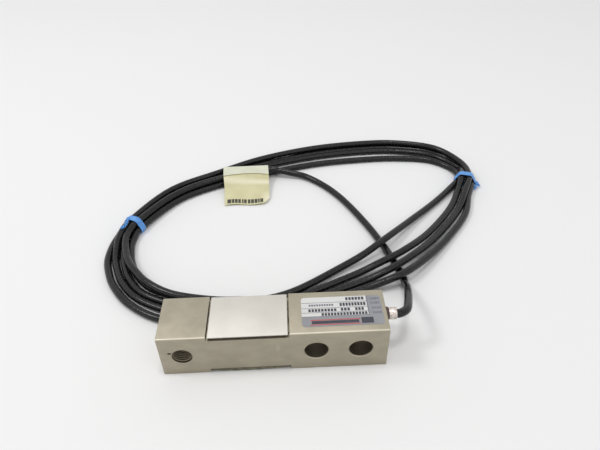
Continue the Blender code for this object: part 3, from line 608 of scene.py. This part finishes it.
# the line colour, laid at the shade spots, is painted shadow: along the bead's top under the recess's upper
# edge and in the gaps at its two ends
beadLook = {"light": (0.2, 0.19, 0.11), "dark": (0.075, 0.07, 0.042), "patch": 3.5, "gloss": (0.4, 0.65),
            "grain": 0.6, "depth": 0.04, "wave": 0.15, "line": (0.04, 0.022, 0.014), "shade": (
                ((None, None, 3.1), (None, None, 0.75), 0.4), ((-37.2, None, 2.4), (1.3, None, 1.7), 0.4),
                ((8.7, None, 2.2), (1.1, None, 1.5), 0.4))}
beadFinish = mottledFinish("squeezedBead", beadLook)
# painted shadow along the bead's top and at both its ends
overlay(beadFinish, [(spot(beadFinish, *place), beadLook["line"]) for place in beadLook["shade"]])


def windowCutter(low, high):
    # cuts the film out over the gauge pocket, all but its rim
    (a, b), window = beam["pocket"], sealant["window"]
    half = beam["pocketHalf"] - window
    return addBlock("cutter", (a + window, -half, low - 1), (b - window, half, high + 1))


def makeBed():
    (a, b), inset, half = cover["x"], sealant["set"], sealant["bedHalf"]
    low, high = sealant["low"], sealant["high"]
    bed = addBlock("upperSealant", (a + inset, -half, low), (b - inset, half, high))
    cutWith(bed, [windowCutter(low, high)])
    softenEdges(bed, 0.25)
    smoothShade(bed, 40)
    return bed


def makeBead():
    # a film between cover and recess, with a squeezed lip along each long side
    (a, b), (start, stop) = cover["x"], sealant["beadX"]
    half, depth, top = sealant["beadHalf"], sealant["beadDepth"], sealant["beadTop"]
    heights = sealant["beadLow"]
    spots = np.linspace(start, stop, len(heights))
    wide, tall = sealant["squareness"]
    lips = []
    for side in (-1, 1):
        def place(u, v):
            x = start + (stop - start) * v
            low = float(np.interp(x, spots, heights))
            low += sum(size * math.sin(x * rate + side * lag) for size, rate, lag in sealant["ripples"])
            middle, rise = (low + top) / 2, (top - low) / 2
            out, up = math.cos(fullTurn * u), math.sin(fullTurn * u)
            squareOut = math.copysign(abs(out) ** wide, out)
            squareUp = math.copysign(abs(up) ** tall, up)
            ends = min(1, 0.8 + v * 20, 0.8 + (1 - v) * 20)  # the lip thins at its two ends
            reach = half - depth / 2 + squareOut * depth / 2 * ends
            return (x, side * reach, middle + squareUp * rise * ends)
        lips.append(shapedGrid("lip", 14, 90, place, closed=True))
        closeEnds(lips[-1])
    low = cover["drop"] + cover["thick"] + sealant["filmGap"]
    inset, rim = sealant["set"], half - sealant["filmSet"]
    film = addBlock("lowerBead", (a + inset, -rim, low), (b - inset, rim, top))
    cutWith(film, [windowCutter(low, top)])
    bead = joined([film] + lips, "lowerBead")
    smoothShade(bead, 50)
    return bead


dress(makeBed(), mottledFinish("pottedBed", bedLook), "sealant", "upper_sealant_bed")
dress(makeBead(), beadFinish, "sealant", "lower_sealant_bead")
print("covers and sealant laid")


# drips of sealant left in the gap beside the upper cover
drips = {"spots": ((8.45, 14.2, 0.75, 1.2), (8.4, -2.3, 0.4, 1.0), (8.45, -3.6, 0.3, 0.6),
                   (8.5, 4.0, 0.25, 0.5), (-37.15, -8.0, 0.3, 0.9), (8.45, -13.6, 0.35, 0.7)),
         "level": 30.0, "narrow": 0.75, "tall": 1.3, "lumpSize": 0.8, "lumpDepth": 0.25}


def makeDrips():
    blobs = [addBall((x, y, drips["level"]), radius, (drips["narrow"], reach / radius, drips["tall"]), 3)
             for x, y, radius, reach in drips["spots"]]
    piece = joined(blobs, "sealantDrips")
    lumps = bpy.data.textures.new("dripLumps", "CLOUDS")
    lumps.noise_scale = drips["lumpSize"] * mm
    applyModifier(piece, "DISPLACE", texture=lumps, strength=drips["lumpDepth"] * mm, texture_coords="LOCAL")
    smoothShade(piece, 60)
    return piece


dripLook = {"light": (0.03, 0.022, 0.018), "dark": (0.012, 0.01, 0.009), "patch": 1.0, "gloss": (0.3, 0.5),
            "grain": 0.3, "depth": 0.02}
dress(makeDrips(), mottledFinish("sealantDrip", dripLook), "sealant")


# label: a grey film with a white field, plain rules and bands, and rows of plain dashes
labelSheet = {"x": (16.2, 62.8), "half": 11.0, "corner": 2.0, "low": 31.02, "thick": 0.12, "layer": 0.012,
              "fieldRight": 54.6, "fieldLow": -3.7}
filmLook = {"light": (0.30, 0.305, 0.322), "dark": (0.265, 0.27, 0.287), "patch": 9.0, "gloss": (0.32, 0.42),
            "grain": 0.5, "depth": 0.004}
fieldLook = {"light": (0.72, 0.72, 0.7), "dark": (0.67, 0.67, 0.66), "patch": 9.0, "gloss": (0.35, 0.45),
             "grain": 0.5, "depth": 0.003}
printLook = {"patch": 2.0, "gloss": (0.4, 0.5), "grain": 0.3, "depth": 0.002}
inkLook = tinted(printLook, (0.055, 0.055, 0.075), (0.03, 0.03, 0.045))
paleInkLook = tinted(printLook, (0.22, 0.215, 0.25), (0.15, 0.145, 0.175))
redLook = tinted({**printLook, "patch": 3.0}, (0.56, 0.085, 0.09), (0.46, 0.06, 0.065))


def printedBars(name, bars, layer):
    # each bar is (left, right, middle, width) and lies flat on the film
    height = labelSheet["low"] + labelSheet["thick"] + layer * labelSheet["layer"]
    parts = []
    for left, right, middle, width in bars:
        clearSelection()
        bpy.ops.mesh.primitive_plane_add(size=1, location=((left + right) / 2 * mm, middle * mm, height * mm))
        bar = bpy.context.active_object
        bar.scale = ((right - left) * mm, width * mm, 1)
        parts.append(applyPlace(bar))
    return joined(parts, name)


def dashes(rows, share=0.74):
    # each row is (left, right, middle, width, pitch), and each dash takes up a share of its step
    bars = []
    for left, right, middle, width, pitch in rows:
        count = round((right - left) / pitch)
        step = (right - left) / count
        bars += [(left + k * step, left + (k + share) * step, middle, width) for k in range(count)]
    return bars


def makeLabel():
    (a, b), half, corner = labelSheet["x"], labelSheet["half"], labelSheet["corner"]
    low, top, inset = labelSheet["low"], labelSheet["low"] + labelSheet["thick"], 0.02
    film = addBlock("labelFilm", (a, -half, low), (b, half, top))
    bevelEdges(film, corner, 8, upright)
    field = addBlock("labelField", (a + inset, labelSheet["fieldLow"], low + inset),
                     (labelSheet["fieldRight"], half - inset, top + labelSheet["layer"]))
    bevelEdges(field, corner, 8,
               lambda middle, way: upright(middle, way) and middle.x < a + 1 and middle.y > half - 1)
    for sheet in (film, field):
        smoothShade(sheet, 30)
    return film, field


film, field = makeLabel()
dress(film, mottledFinish("labelFilm", filmLook), "label", "data_label")
dress(field, mottledFinish("labelField", fieldLook), "label")
darkRows = [(42.3, 53.4, 9.0, 2.3, 1.75), (38.6, 54.0, 4.7, 2.5, 1.75), (47.2, 52.6, 0.9, 2.2, 1.75),
            (38.9, 44.6, 0.9, 2.2, 1.75), (20.2, 36.8, 0.8, 2.1, 1.75), (27.6, 54.2, -2.4, 2.1, 1.75)]
paleRows = [(20.6, 35.2, 4.7, 1.5, 1.4), (56.6, 62.2, 8.4, 1.6, 1.3), (56.6, 62.2, 5.0, 1.6, 1.3),
            (56.8, 62.4, 1.2, 1.6, 1.3), (56.8, 62.4, -2.4, 1.6, 1.3)]
labelPrint = {
    # name: look, layer, bars
    "labelRules": (paleInkLook, 2, [(16.3, 54.6, y, 0.36) for y in (6.65, 2.5, -0.85)]
                   + [(16.3, 55.0, -3.8, 0.36)]),
    "fieldEdge": (paleInkLook, 2, [(54.4, 55.0, 3.6, 14.6)]),
    "darkDashes": (inkLook, 3, dashes(darkRows)),
    "paleDashes": (paleInkLook, 3, dashes(paleRows)),
    "darkBand": (inkLook, 3, [(21.6, 48.4, -8.15, 2.2), (49.8, 56.6, -7.75, 4.3)]),
    "redRules": (redLook, 3, [(20.8, 49.2, -6.45, 0.6), (20.8, 49.3, -9.85, 0.6)]),
}
for name, (look, layer, bars) in labelPrint.items():
    dress(printedBars(name, bars, layer), mottledFinish(name, look), "label")
print("label printed")


# gland: nipple and seal
gland = {"shoulder": 66.6, "end": 71.3, "nippleRadius": 3.5, "spigotRadius": 2.9, "spigotStart": 59.6,
         "jacketHole": 2.72, "boreRadius": 2.0, "washerRadius": 4.1, "groove": 0.18}
nippleLook = {"light": (0.84, 0.79, 0.75), "dark": (0.5, 0.42, 0.38), "patch": 1.1, "metallic": 1.0,
              "gloss": (0.3, 0.5), "grain": 0.5, "depth": 0.05, "wave": 0.12}
washerLook = {"light": (0.09, 0.055, 0.042), "dark": (0.04, 0.024, 0.02), "patch": 1.6, "gloss": (0.45, 0.65),
              "grain": 0.4, "depth": 0.03}


def makeNipple():
    start, shoulder, end = gland["spigotStart"], gland["shoulder"], gland["end"]
    spigot, bore, hole = gland["spigotRadius"], gland["boreRadius"], gland["jacketHole"]
    outer = gland["nippleRadius"]
    neck = outer - gland["groove"]
    profile = [(start, bore), (start, spigot - 0.3), (start + 0.3, spigot), (shoulder, spigot),
               (shoulder, outer - 0.3), (shoulder + 0.1, outer - 0.1), (shoulder + 0.3, outer),
               (end - 1.5, outer), (end - 1.35, neck), (end - 1.15, neck), (end - 1.0, outer),
               (end - 0.45, outer), (end - 0.15, outer - 0.15), (end, outer - 0.45), (end, hole + 0.2),
               (end - 0.2, hole), (shoulder + 0.2, hole), (shoulder + 0.2, bore), (start, bore)]
    return turnedPiece("glandNipple", "X", (0, beam["glandHeight"]), profile, 40)


def makeWasher():
    start, end = beam["length"] / 2 + 0.02, gland["shoulder"] - 0.02
    inner, outer = gland["spigotRadius"] + 0.04, gland["washerRadius"]
    profile = [(start, inner), (start, outer - 0.2), (start + 0.3, outer), (start + 0.8, outer - 0.15),
               (end - 0.3, outer - 0.3), (end - 0.1, outer - 0.5), (end, outer - 0.8), (end, inner),
               (start, inner)]
    return turnedPiece("sealWasher", "X", (0, beam["glandHeight"]), profile, 60)


nipple = dress(makeNipple(), mottledFinish("nippleMetal", nippleLook), "nipple", "gland_nipple")
washer = dress(makeWasher(), mottledFinish("sealRubber", washerLook), "washer", "gland_seal_washer")
print("gland turned")


# ties: a ribbon with a wire core round the coil's strands, its ends twisted together
tie = {"wide": 5.2, "thick": 0.34, "clear": 0.42, "least": 0.5, "skew": 0.35, "floor": 0.06,
       "oval": (0.75, 1.35)}
tieLook = {"light": (0.125, 0.37, 0.80), "dark": (0.08, 0.27, 0.68), "patch": 2.6, "gloss": (0.3, 0.42),
           "grain": 0.4, "depth": 0.015, "wave": 0.08}
tieSpots = {
    "leftTie": {"step": 1, "corner": (1, 1), "turns": 2.9, "core": 0.62, "strand": 0.68, "legs": (
        [(-111.9, 117.8, 11.7), (-112, 113.9, 11.7), (-112.9, 110.9, 11.4), (-115.3, 109.2, 10.9)],)},
    "rightTie": {"step": -1, "corner": (1, 0), "turns": 1.2, "core": 0.5, "strand": 0.55, "legs": (
        [(172.2, 162.2, 3.6), (172.9, 160.2, 2.8), (173.6, 158.4, 2.4)],
        [(171.2, 160.2, 3.2), (169.8, 157.4, 2.5), (168.6, 155.2, 2.2)])},
}


def strandsAt(name):
    # where the strands lie in the plane across the coil at a tie, as (outward, height) pairs
    picks = [routeIndex(run, name) + tieSpots[name]["step"] for run in range(cable["runs"])]
    picks = [k for k in picks if k < len(coilRoute) - 1]
    middle = coilRoute[picks[0]][:2]
    ahead = sum(coilRoute[k + 1][:2] - coilRoute[k - 1][:2] for k in picks)
    ahead = ahead / np.linalg.norm(ahead)
    side = np.array([ahead[1], -ahead[0]])
    spots = [(float(np.dot(coilRoute[k][:2] - middle, side)), float(coilRoute[k][2])) for k in picks]
    return middle, ahead, side, spots


def wrapOutline(spots, reach, count=120, sides=48, rounds=6):
    # the tight loop round circles of that reach, as evenly spaced points, smoothed in rounds
    dots = []
    for a, z in spots:
        for k in range(sides):
            turn = fullTurn * k / sides
            dots.append((a + reach * math.cos(turn), max(tie["least"], z + reach * math.sin(turn))))
    dots = sorted(set(dots))
    loop = []
    for order in (dots, dots[::-1]):
        part = []
        for dot in order:
            while len(part) > 1 and ((part[-1][0] - part[-2][0]) * (dot[1] - part[-2][1])
                                     - (part[-1][1] - part[-2][1]) * (dot[0] - part[-2][0])) <= 0:
                part.pop()
            part.append(dot)
        loop += part[:-1]
    loop.append(loop[0])
    loop = np.array(loop)
    length = np.r_[0, np.cumsum(np.linalg.norm(np.diff(loop, axis=0), axis=1))]
    at = np.linspace(0, length[-1], count + 1)[:-1]
    even = np.stack([np.interp(at, length, loop[:, i]) for i in range(2)], 1)
    for _ in range(rounds):
        even = 0.5 * even + 0.25 * (np.roll(even, 1, axis=0) + np.roll(even, -1, axis=0))
    even[:, 1] = np.maximum(even[:, 1], tie["least"])
    return even


# the ribbon's own section, in shares of its width and thickness: across the outside, then back on the inside
ribbonShape = [(-0.5, 0.02), (-0.5, 0.5), (-0.46, 0.95), (-0.4, 1.0), (-0.3, 0.7), (-0.14, 0.75), (-0.08, 1.5),
               (0, 1.95), (0.08, 1.5), (0.14, 0.75), (0.3, 0.7), (0.4, 1.0), (0.46, 0.95), (0.5, 0.5),
               (0.5, 0.02), (0.2, 0.0), (-0.2, 0.0)]
ribbonSides = len(ribbonShape)


def twistedStrand(setup, line, half):
    # one of the two ribbon ends that are wound round each other along the line
    steps = len(line) - 1
    flatter, wider = tie["oval"]

    def place(u, v):
        k = min(int(round(v * steps)), steps)
        way = Vector(line[min(k + 1, steps)] - line[max(k - 1, 0)]).normalized()
        flat = way.cross(Vector((0, 0, 1))).normalized()
        turn = fullTurn * (setup["turns"] * k / steps + half / 2)
        out = flat * math.cos(turn) + flat.cross(way) * math.sin(turn)
        reach = setup["core"] * min(1, k / 5 + 0.2)
        fat = setup["strand"] * (1 if k < steps - 2 else 0.85)
        roll = fullTurn * u
        at = Vector(line[k]) + out * (reach + fat * flatter * math.cos(roll))
        at += out.cross(way) * fat * wider * math.sin(roll)
        at.z = max(at.z, tie["floor"])
        return at

    strand = shapedGrid("tieTail", 12, steps, place, closed=True)
    closeEnds(strand)
    return strand


def makeTie(name):
    middle, ahead, side, spots = strandsAt(name)
    outline = wrapOutline(spots, cable["diameter"] / 2 + tie["clear"])
    normals = np.roll(outline, -1, axis=0) - np.roll(outline, 1, axis=0)
    normals /= np.linalg.norm(normals, axis=1)[:, None]
    normals = np.stack([normals[:, 1], -normals[:, 0]], 1)
    count = len(outline)

    def place(u, v):
        k = int(round(u * count)) % count
        across, rise = ribbonShape[int(round(v * ribbonSides)) % ribbonSides]
        skew = tie["skew"] * math.sin(fullTurn * k / count)
        a, z = outline[k] + normals[k] * rise * tie["thick"]
        x, y = middle + side * a + ahead * (across * tie["wide"] + skew)
        return (x, y, max(tie["floor"], z))

    band = shapedGrid(name + "Band", count, ribbonSides, place, closed=True)
    faceOutwards(band)
    parts = [band]
    setup = tieSpots[name]
    outer = outline[np.argmax(outline @ np.array(setup["corner"]))]
    start = middle + side * outer[0]
    for leg in setup["legs"]:
        line = smoothRoute([(*start, outer[1])] + leg, 16)
        parts += [twistedStrand(setup, line, half) for half in (0, 1)]
    joined(parts, name + "Band")
    smoothShade(band, 60)
    return band


tieFinish = mottledFinish("tieRibbon", tieLook)
leftTie = dress(makeTie("leftTie"), tieFinish, "tie", "left_tie")
rightTie = dress(makeTie("rightTie"), tieFinish, "tie", "right_tie")
print("ties wound")


# tag: a paper slip folded over the inner strands; its two layers are stuck together below the fold.
# Each profile goes from behind the fold to the free edge, as (along Y, height).
tag = {"x": (-44.0, -5.0), "skew": (3.2, 1.0), "thick": 0.22, "lift": 0.5, "lipAt": (5.15, 5.05, 6.0),
       "curl": 0.35, "curlFrom": 0.85, "cornerCut": 1.3, "cutFrom": (0.86, 0.8), "perStep": 8, "flagFrom": 3,
       "flap": 8, "sway": 0.7, "bulge": 0.3, "cornerLift": 0.9, "least": 0.25,
       "dashX": (-41.6, -10.4), "dashDown": (10.75, 0.95),
       "dashWidths": (3.4, 2.2, 2.4, 2.2, 0, 1.4, 2.3, 0, 2.3, 2.6, 2.6, 1.4, 2.6)}
tagLeft = [
    (190.2, 9.5), (188.6, 10.7), (186.2, 10.9), (182.6, 11.0), (178.4, 11.0), (175.4, 10.7), (172.4, 9.9),
    (169.8, 8.0), (166.6, 5.8), (162.6, 4.3), (157.0, 3.0), (151.0, 1.7), (146.5, 0.9),
]
tagRight = [
    (191.8, 8.7), (190.4, 9.9), (188.7, 10.6), (186.9, 10.7), (185.0, 10.1), (183.0, 8.9), (180.2, 7.4),
    (176.5, 6.1), (171.0, 4.9), (164.5, 3.7), (158.0, 2.6), (151.5, 1.4), (147.0, 0.9),
]
tagCurves = [smoothRoute([(0, *point) for point in line], tag["perStep"]) for line in (tagLeft, tagRight)]
tagSteps = len(tagLeft) - 1


def tagPoint(across, down, lift):
    # across runs from 0 to 1 along X, down counts the profile's steps from behind the fold
    k = min(max(down, 0.0), tagSteps) * tag["perStep"]
    low = int(min(k, tagSteps * tag["perStep"] - 1))
    share = k - low
    ends = [line[low] * (1 - share) + line[low + 1] * share for line in tagCurves]
    ways = [line[low + 1] - line[low] for line in tagCurves]
    point = ends[0] * (1 - across) + ends[1] * across
    way = ways[0] * (1 - across) + ways[1] * across
    way /= np.linalg.norm(way)
    a, b = tag["x"]
    free = max(0.0, down - tag["flap"]) / (tagSteps - tag["flap"])
    y = point[1] + way[2] * lift + tag["sway"] * free * math.sin(across * 7)
    z = point[2] + abs(way[1]) * lift + tag["bulge"] * free * (1 + math.sin(across * 9))
    z += tag["cornerLift"] * (free * across) ** 3
    skew = tag["skew"][0] * (1 - across) + tag["skew"][1] * across
    return (a + (b - a) * across + skew * down / tagSteps, y, max(z, tag["least"]))


def pastShare(value, start):
    return max(0.0, value - start) / (1 - start)


def makeTag():
    first, (cutAcross, cutDown) = tag["flagFrom"], tag["cutFrom"]

    def placeFlag(u, v):
        corner = tag["cornerCut"] * pastShare(u, cutAcross) ** 2 * pastShare(v, cutDown)
        return tagPoint(u, first + (tagSteps - first) * v - corner, 0.0)

    def placeWrap(u, v):
        left, middle, right = tag["lipAt"]
        bow = 1 - (2 * u - 1) ** 2
        lip = left * (1 - u) + right * u - bow * ((left + right) / 2 - middle)
        return tagPoint(u, lip * v, tag["lift"] + tag["curl"] * pastShare(v, tag["curlFrom"]))

    sheets = []
    for name, place, columns, rows in (("tagFlag", placeFlag, 40, 80), ("tagWrap", placeWrap, 40, 48)):
        sheet = shapedGrid(name, columns, rows, place)
        applyModifier(sheet, "SOLIDIFY", thickness=tag["thick"] * mm, offset=0.0)
        smoothShade(sheet, 50)
        sheets.append(sheet)
    return sheets


def makeTagMarks():
    # plain dashes along the free edge, following the paper
    (a, b), (x, right), (top, tall) = tag["x"], tag["dashX"], tag["dashDown"]
    widths = tag["dashWidths"]
    gap = (right - x - sum(widths)) / (len(widths) - 1)
    parts = []
    for width in widths:
        if width:
            low, high = (x - a) / (b - a), (x + width - a) / (b - a)

            def place(u, v):
                return tagPoint(low + (high - low) * u, top + tall * v, tag["thick"] / 2 + 0.02)

            parts.append(shapedGrid("tagMark", 3, 6, place))
        x += width + gap
    return joined(parts, "tagMark")


# the band colour, laid over the paper at the spots listed last, is painted highlight: a lit strip just below
# the fold's lip and at the lifted lower right corner
flagLook = {"light": (0.72, 0.685, 0.43), "dark": (0.64, 0.6, 0.36), "patch": 12.0, "gloss": (0.6, 0.72),
            "grain": 0.6, "depth": 0.02, "wave": 0.1, "shine": 0.25, "band": (0.83, 0.79, 0.57),
            "paintedHighlights": (((None, 172.2, None), (None, 4.0, None), 0.2),
                     ((-4.5, 153.0, None), (7.5, 9.0, None), 0.2))}
wrapLook = {"light": (0.76, 0.77, 0.63), "dark": (0.69, 0.70, 0.56), "patch": 9.0, "gloss": (0.5, 0.65),
            "grain": 0.6, "depth": 0.02, "wave": 0.1, "shine": 0.25}
markLook = {"light": (0.075, 0.075, 0.05), "dark": (0.03, 0.03, 0.025), "patch": 1.2, "gloss": (0.5, 0.6),
            "grain": 0.4, "depth": 0.004}
tagFlag, tagWrap = makeTag()
paper = mottledFinish("tagPaper", flagLook)
# painted highlight below the fold's lip and at the lifted corner
overlay(paper, [(spot(paper, *place), flagLook["band"]) for place in flagLook["paintedHighlights"]])
dress(tagFlag, paper, "tag", "flag_tag")
dress(tagWrap, mottledFinish("tagFold", wrapLook), "tag", "flag_tag")
tagMarks = dress(makeTagMarks(), mottledFinish("tagInk", markLook), "tag")
print("tag folded")


# cable end: shrink sleeve and stripped wires behind the beam
cableEnd = {"sleeve": (17.0, 37.0), "radius": 3.5, "hole": 2.72, "y": 20.4, "z": 3.6, "wire": 1.0, "drain": 0.6,
            "reach": 28.0, "step": 0.72, "gap": 0.3}
endWires = {"red": (1, 1, 6.0), "black": (-1, 1, -3.2), "green": (1, -1, 3.0), "white": (-1, -1, -0.8)}
wireLooks = {
    "red": ((0.5, 0.03, 0.02), (0.4, 0.02, 0.015)), "black": ((0.02, 0.02, 0.02), (0.01, 0.01, 0.01)),
    "green": ((0.02, 0.23, 0.06), (0.015, 0.17, 0.045)), "white": ((0.75, 0.75, 0.72), (0.66, 0.66, 0.62)),
    "yellow": ((0.7, 0.58, 0.08), (0.6, 0.48, 0.06)),
}
wireLook = {"patch": 2.5, "gloss": (0.3, 0.42), "grain": 0.25, "depth": 0.006}
wireFinishes = {colour: mottledFinish("wire" + colour.capitalize(), tinted(wireLook, *shades))
                for colour, shades in wireLooks.items()}


def endWireRoute(side, level, spread, diameter, short):
    out, reach = cableEnd["sleeve"][1], cableEnd["reach"]
    y, z = cableEnd["y"] + side, cableEnd["z"] + level
    points = [(out + 2, y, z), (out + 0.32 * reach, y + 0.3 * spread, 0.62 * z),
              (out + 0.65 * reach, y + 0.72 * spread, diameter / 2 + cableEnd["gap"]),
              (out + reach - short, y + spread, diameter / 2 + 0.1)]
    return np.vstack([[(endPoints[-1][0] + cableEnd["gap"], y, z)], smoothRoute(points, 8)])


def makeSleeve():
    a, b = cableEnd["sleeve"]
    radius, hole = cableEnd["radius"], cableEnd["hole"]
    profile = [(a, hole), (a, radius - 0.4), (a + 0.12, radius - 0.12), (a + 0.4, radius),
               (a + 5, radius - 0.05), (a + 11, radius), (b - 3, radius - 0.06), (b - 0.4, radius),
               (b - 0.12, radius - 0.12), (b, radius - 0.4), (b, hole), (a, hole)]
    return turnedPiece("endSleeve", "X", (cableEnd["y"], cableEnd["z"]), profile, 40)


sleeveLook = {"light": (0.022, 0.022, 0.024), "dark": (0.012, 0.012, 0.013), "patch": 3.0, "gloss": (0.28, 0.4),
              "grain": 0.4, "depth": 0.01, "wave": 0.06}
endPieces = [dress(makeSleeve(), mottledFinish("shrinkSleeve", sleeveLook), "sleeve", "end_sleeve")]
for k, (colour, (side, level, spread)) in enumerate(endWires.items()):
    step = cableEnd["step"]
    line = endWireRoute(side * step, level * step, spread, cableEnd["wire"], 2.5 * k)
    wire = addCurve(f"endWire{colour.capitalize()}", line, cableEnd["wire"], 3)
    endPieces.append(dress(wire, wireFinishes[colour], f"wire_{colour}", f"end_wire_{colour}"))
drain = addCurve("endDrain", endWireRoute(0, 0, 1.1, cableEnd["drain"], 5.0), cableEnd["drain"], 3)
tinLook = {"light": (0.62, 0.61, 0.6), "dark": (0.4, 0.39, 0.38), "patch": 1.5, "metallic": 1.0,
           "gloss": (0.3, 0.45), "grain": 0.2, "depth": 0.02}
endPieces.append(dress(drain, mottledFinish("tinnedBraid", tinLook), "drain", "end_drain_wire"))
print("cable end stripped")


# the pieces inside keep their solids and get their finishes
foilLook = {"patch": 3.0, "gloss": (0.3, 0.42), "grain": 0.4, "depth": 0.01}
insideLooks = {
    "gaugeFoil": ((0.62, 0.36, 0.11), (0.5, 0.27, 0.07), ("upper_shear_gauge", "lower_shear_gauge")),
    "boardLaminate": ((0.5, 0.42, 0.2), (0.4, 0.33, 0.15), ("upper_terminal_board", "lower_terminal_board")),
    "resistorGlaze": ((0.16, 0.3, 0.5), (0.12, 0.23, 0.42), ("balance_resistor",)),
}
insides = {f"board_wire_{colour}": wireFinishes[colour] for colour in endWires}
insides.update({node: wireFinishes["yellow"] for node in ("link_wire_one", "link_wire_two")})
for name, (light, dark, nodes) in insideLooks.items():
    finish = mottledFinish(name, tinted(foilLook, light, dark))
    insides.update({node: finish for node in nodes})
for nodeName, finish in insides.items():
    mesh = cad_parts[nodeName].data
    mesh.materials.clear()
    mesh.materials.append(finish)
print("inside pieces finished")


# room
room = {
    "floorSize": 8.0, "floorColour": (0.9, 0.9, 0.9), "floorRoughness": 0.8, "worldLight": 0.61,
    "aim": (0, 0.1, 0),
    "lamps": {"softBox": ((-1.05, 0.1, 1.45), 0.45, 7.0), "topBox": ((0.1, 0.0, 1.75), 0.3, 4.8),
              "fillBox": ((0.9, -1.0, 1.3), 1.2, 2.2)},  # place, width, power
}
clearSelection()
bpy.ops.mesh.primitive_plane_add(size=room["floorSize"], location=(0, 0, 0))
floor = bpy.context.active_object
floor.name = "floor"
floorFinish = newFinish("floorPaper", 0.0, room["floorRoughness"])
inputsOf(floorFinish)["Base Color"].default_value = (*room["floorColour"], 1)
floor.data.materials.append(floorFinish)

# the world looks white, but lights the object less
world = bpy.data.worlds.new("studio")
bpy.context.scene.world = world
world.use_nodes = True
backdrop = world.node_tree.nodes["Background"]
rays = addNode(world, "ShaderNodeLightPath").outputs
seen = calculated(world, "MAXIMUM", rays["Is Camera Ray"], rays["Is Glossy Ray"])
seen = calculated(world, "MAXIMUM", seen, rays["Is Transmission Ray"])
world.node_tree.links.new(scaled(world, seen, room["worldLight"], 1.0, 0.0, 1.0), backdrop.inputs["Strength"])
backdrop.inputs["Color"].default_value = (1, 1, 1, 1)

bpy.context.scene.view_settings.view_transform = "Standard"

for name, (place, width, power) in room["lamps"].items():
    lampData = bpy.data.lights.new(name, "AREA")
    lampData.shape = "DISK"
    lampData.size = width
    lampData.energy = power
    lamp = newObject(name, lampData)
    lamp.location = place
    lamp.rotation_euler = (Vector(room["aim"]) - Vector(place)).to_track_quat("-Z", "Y").to_euler()
print("room lit")
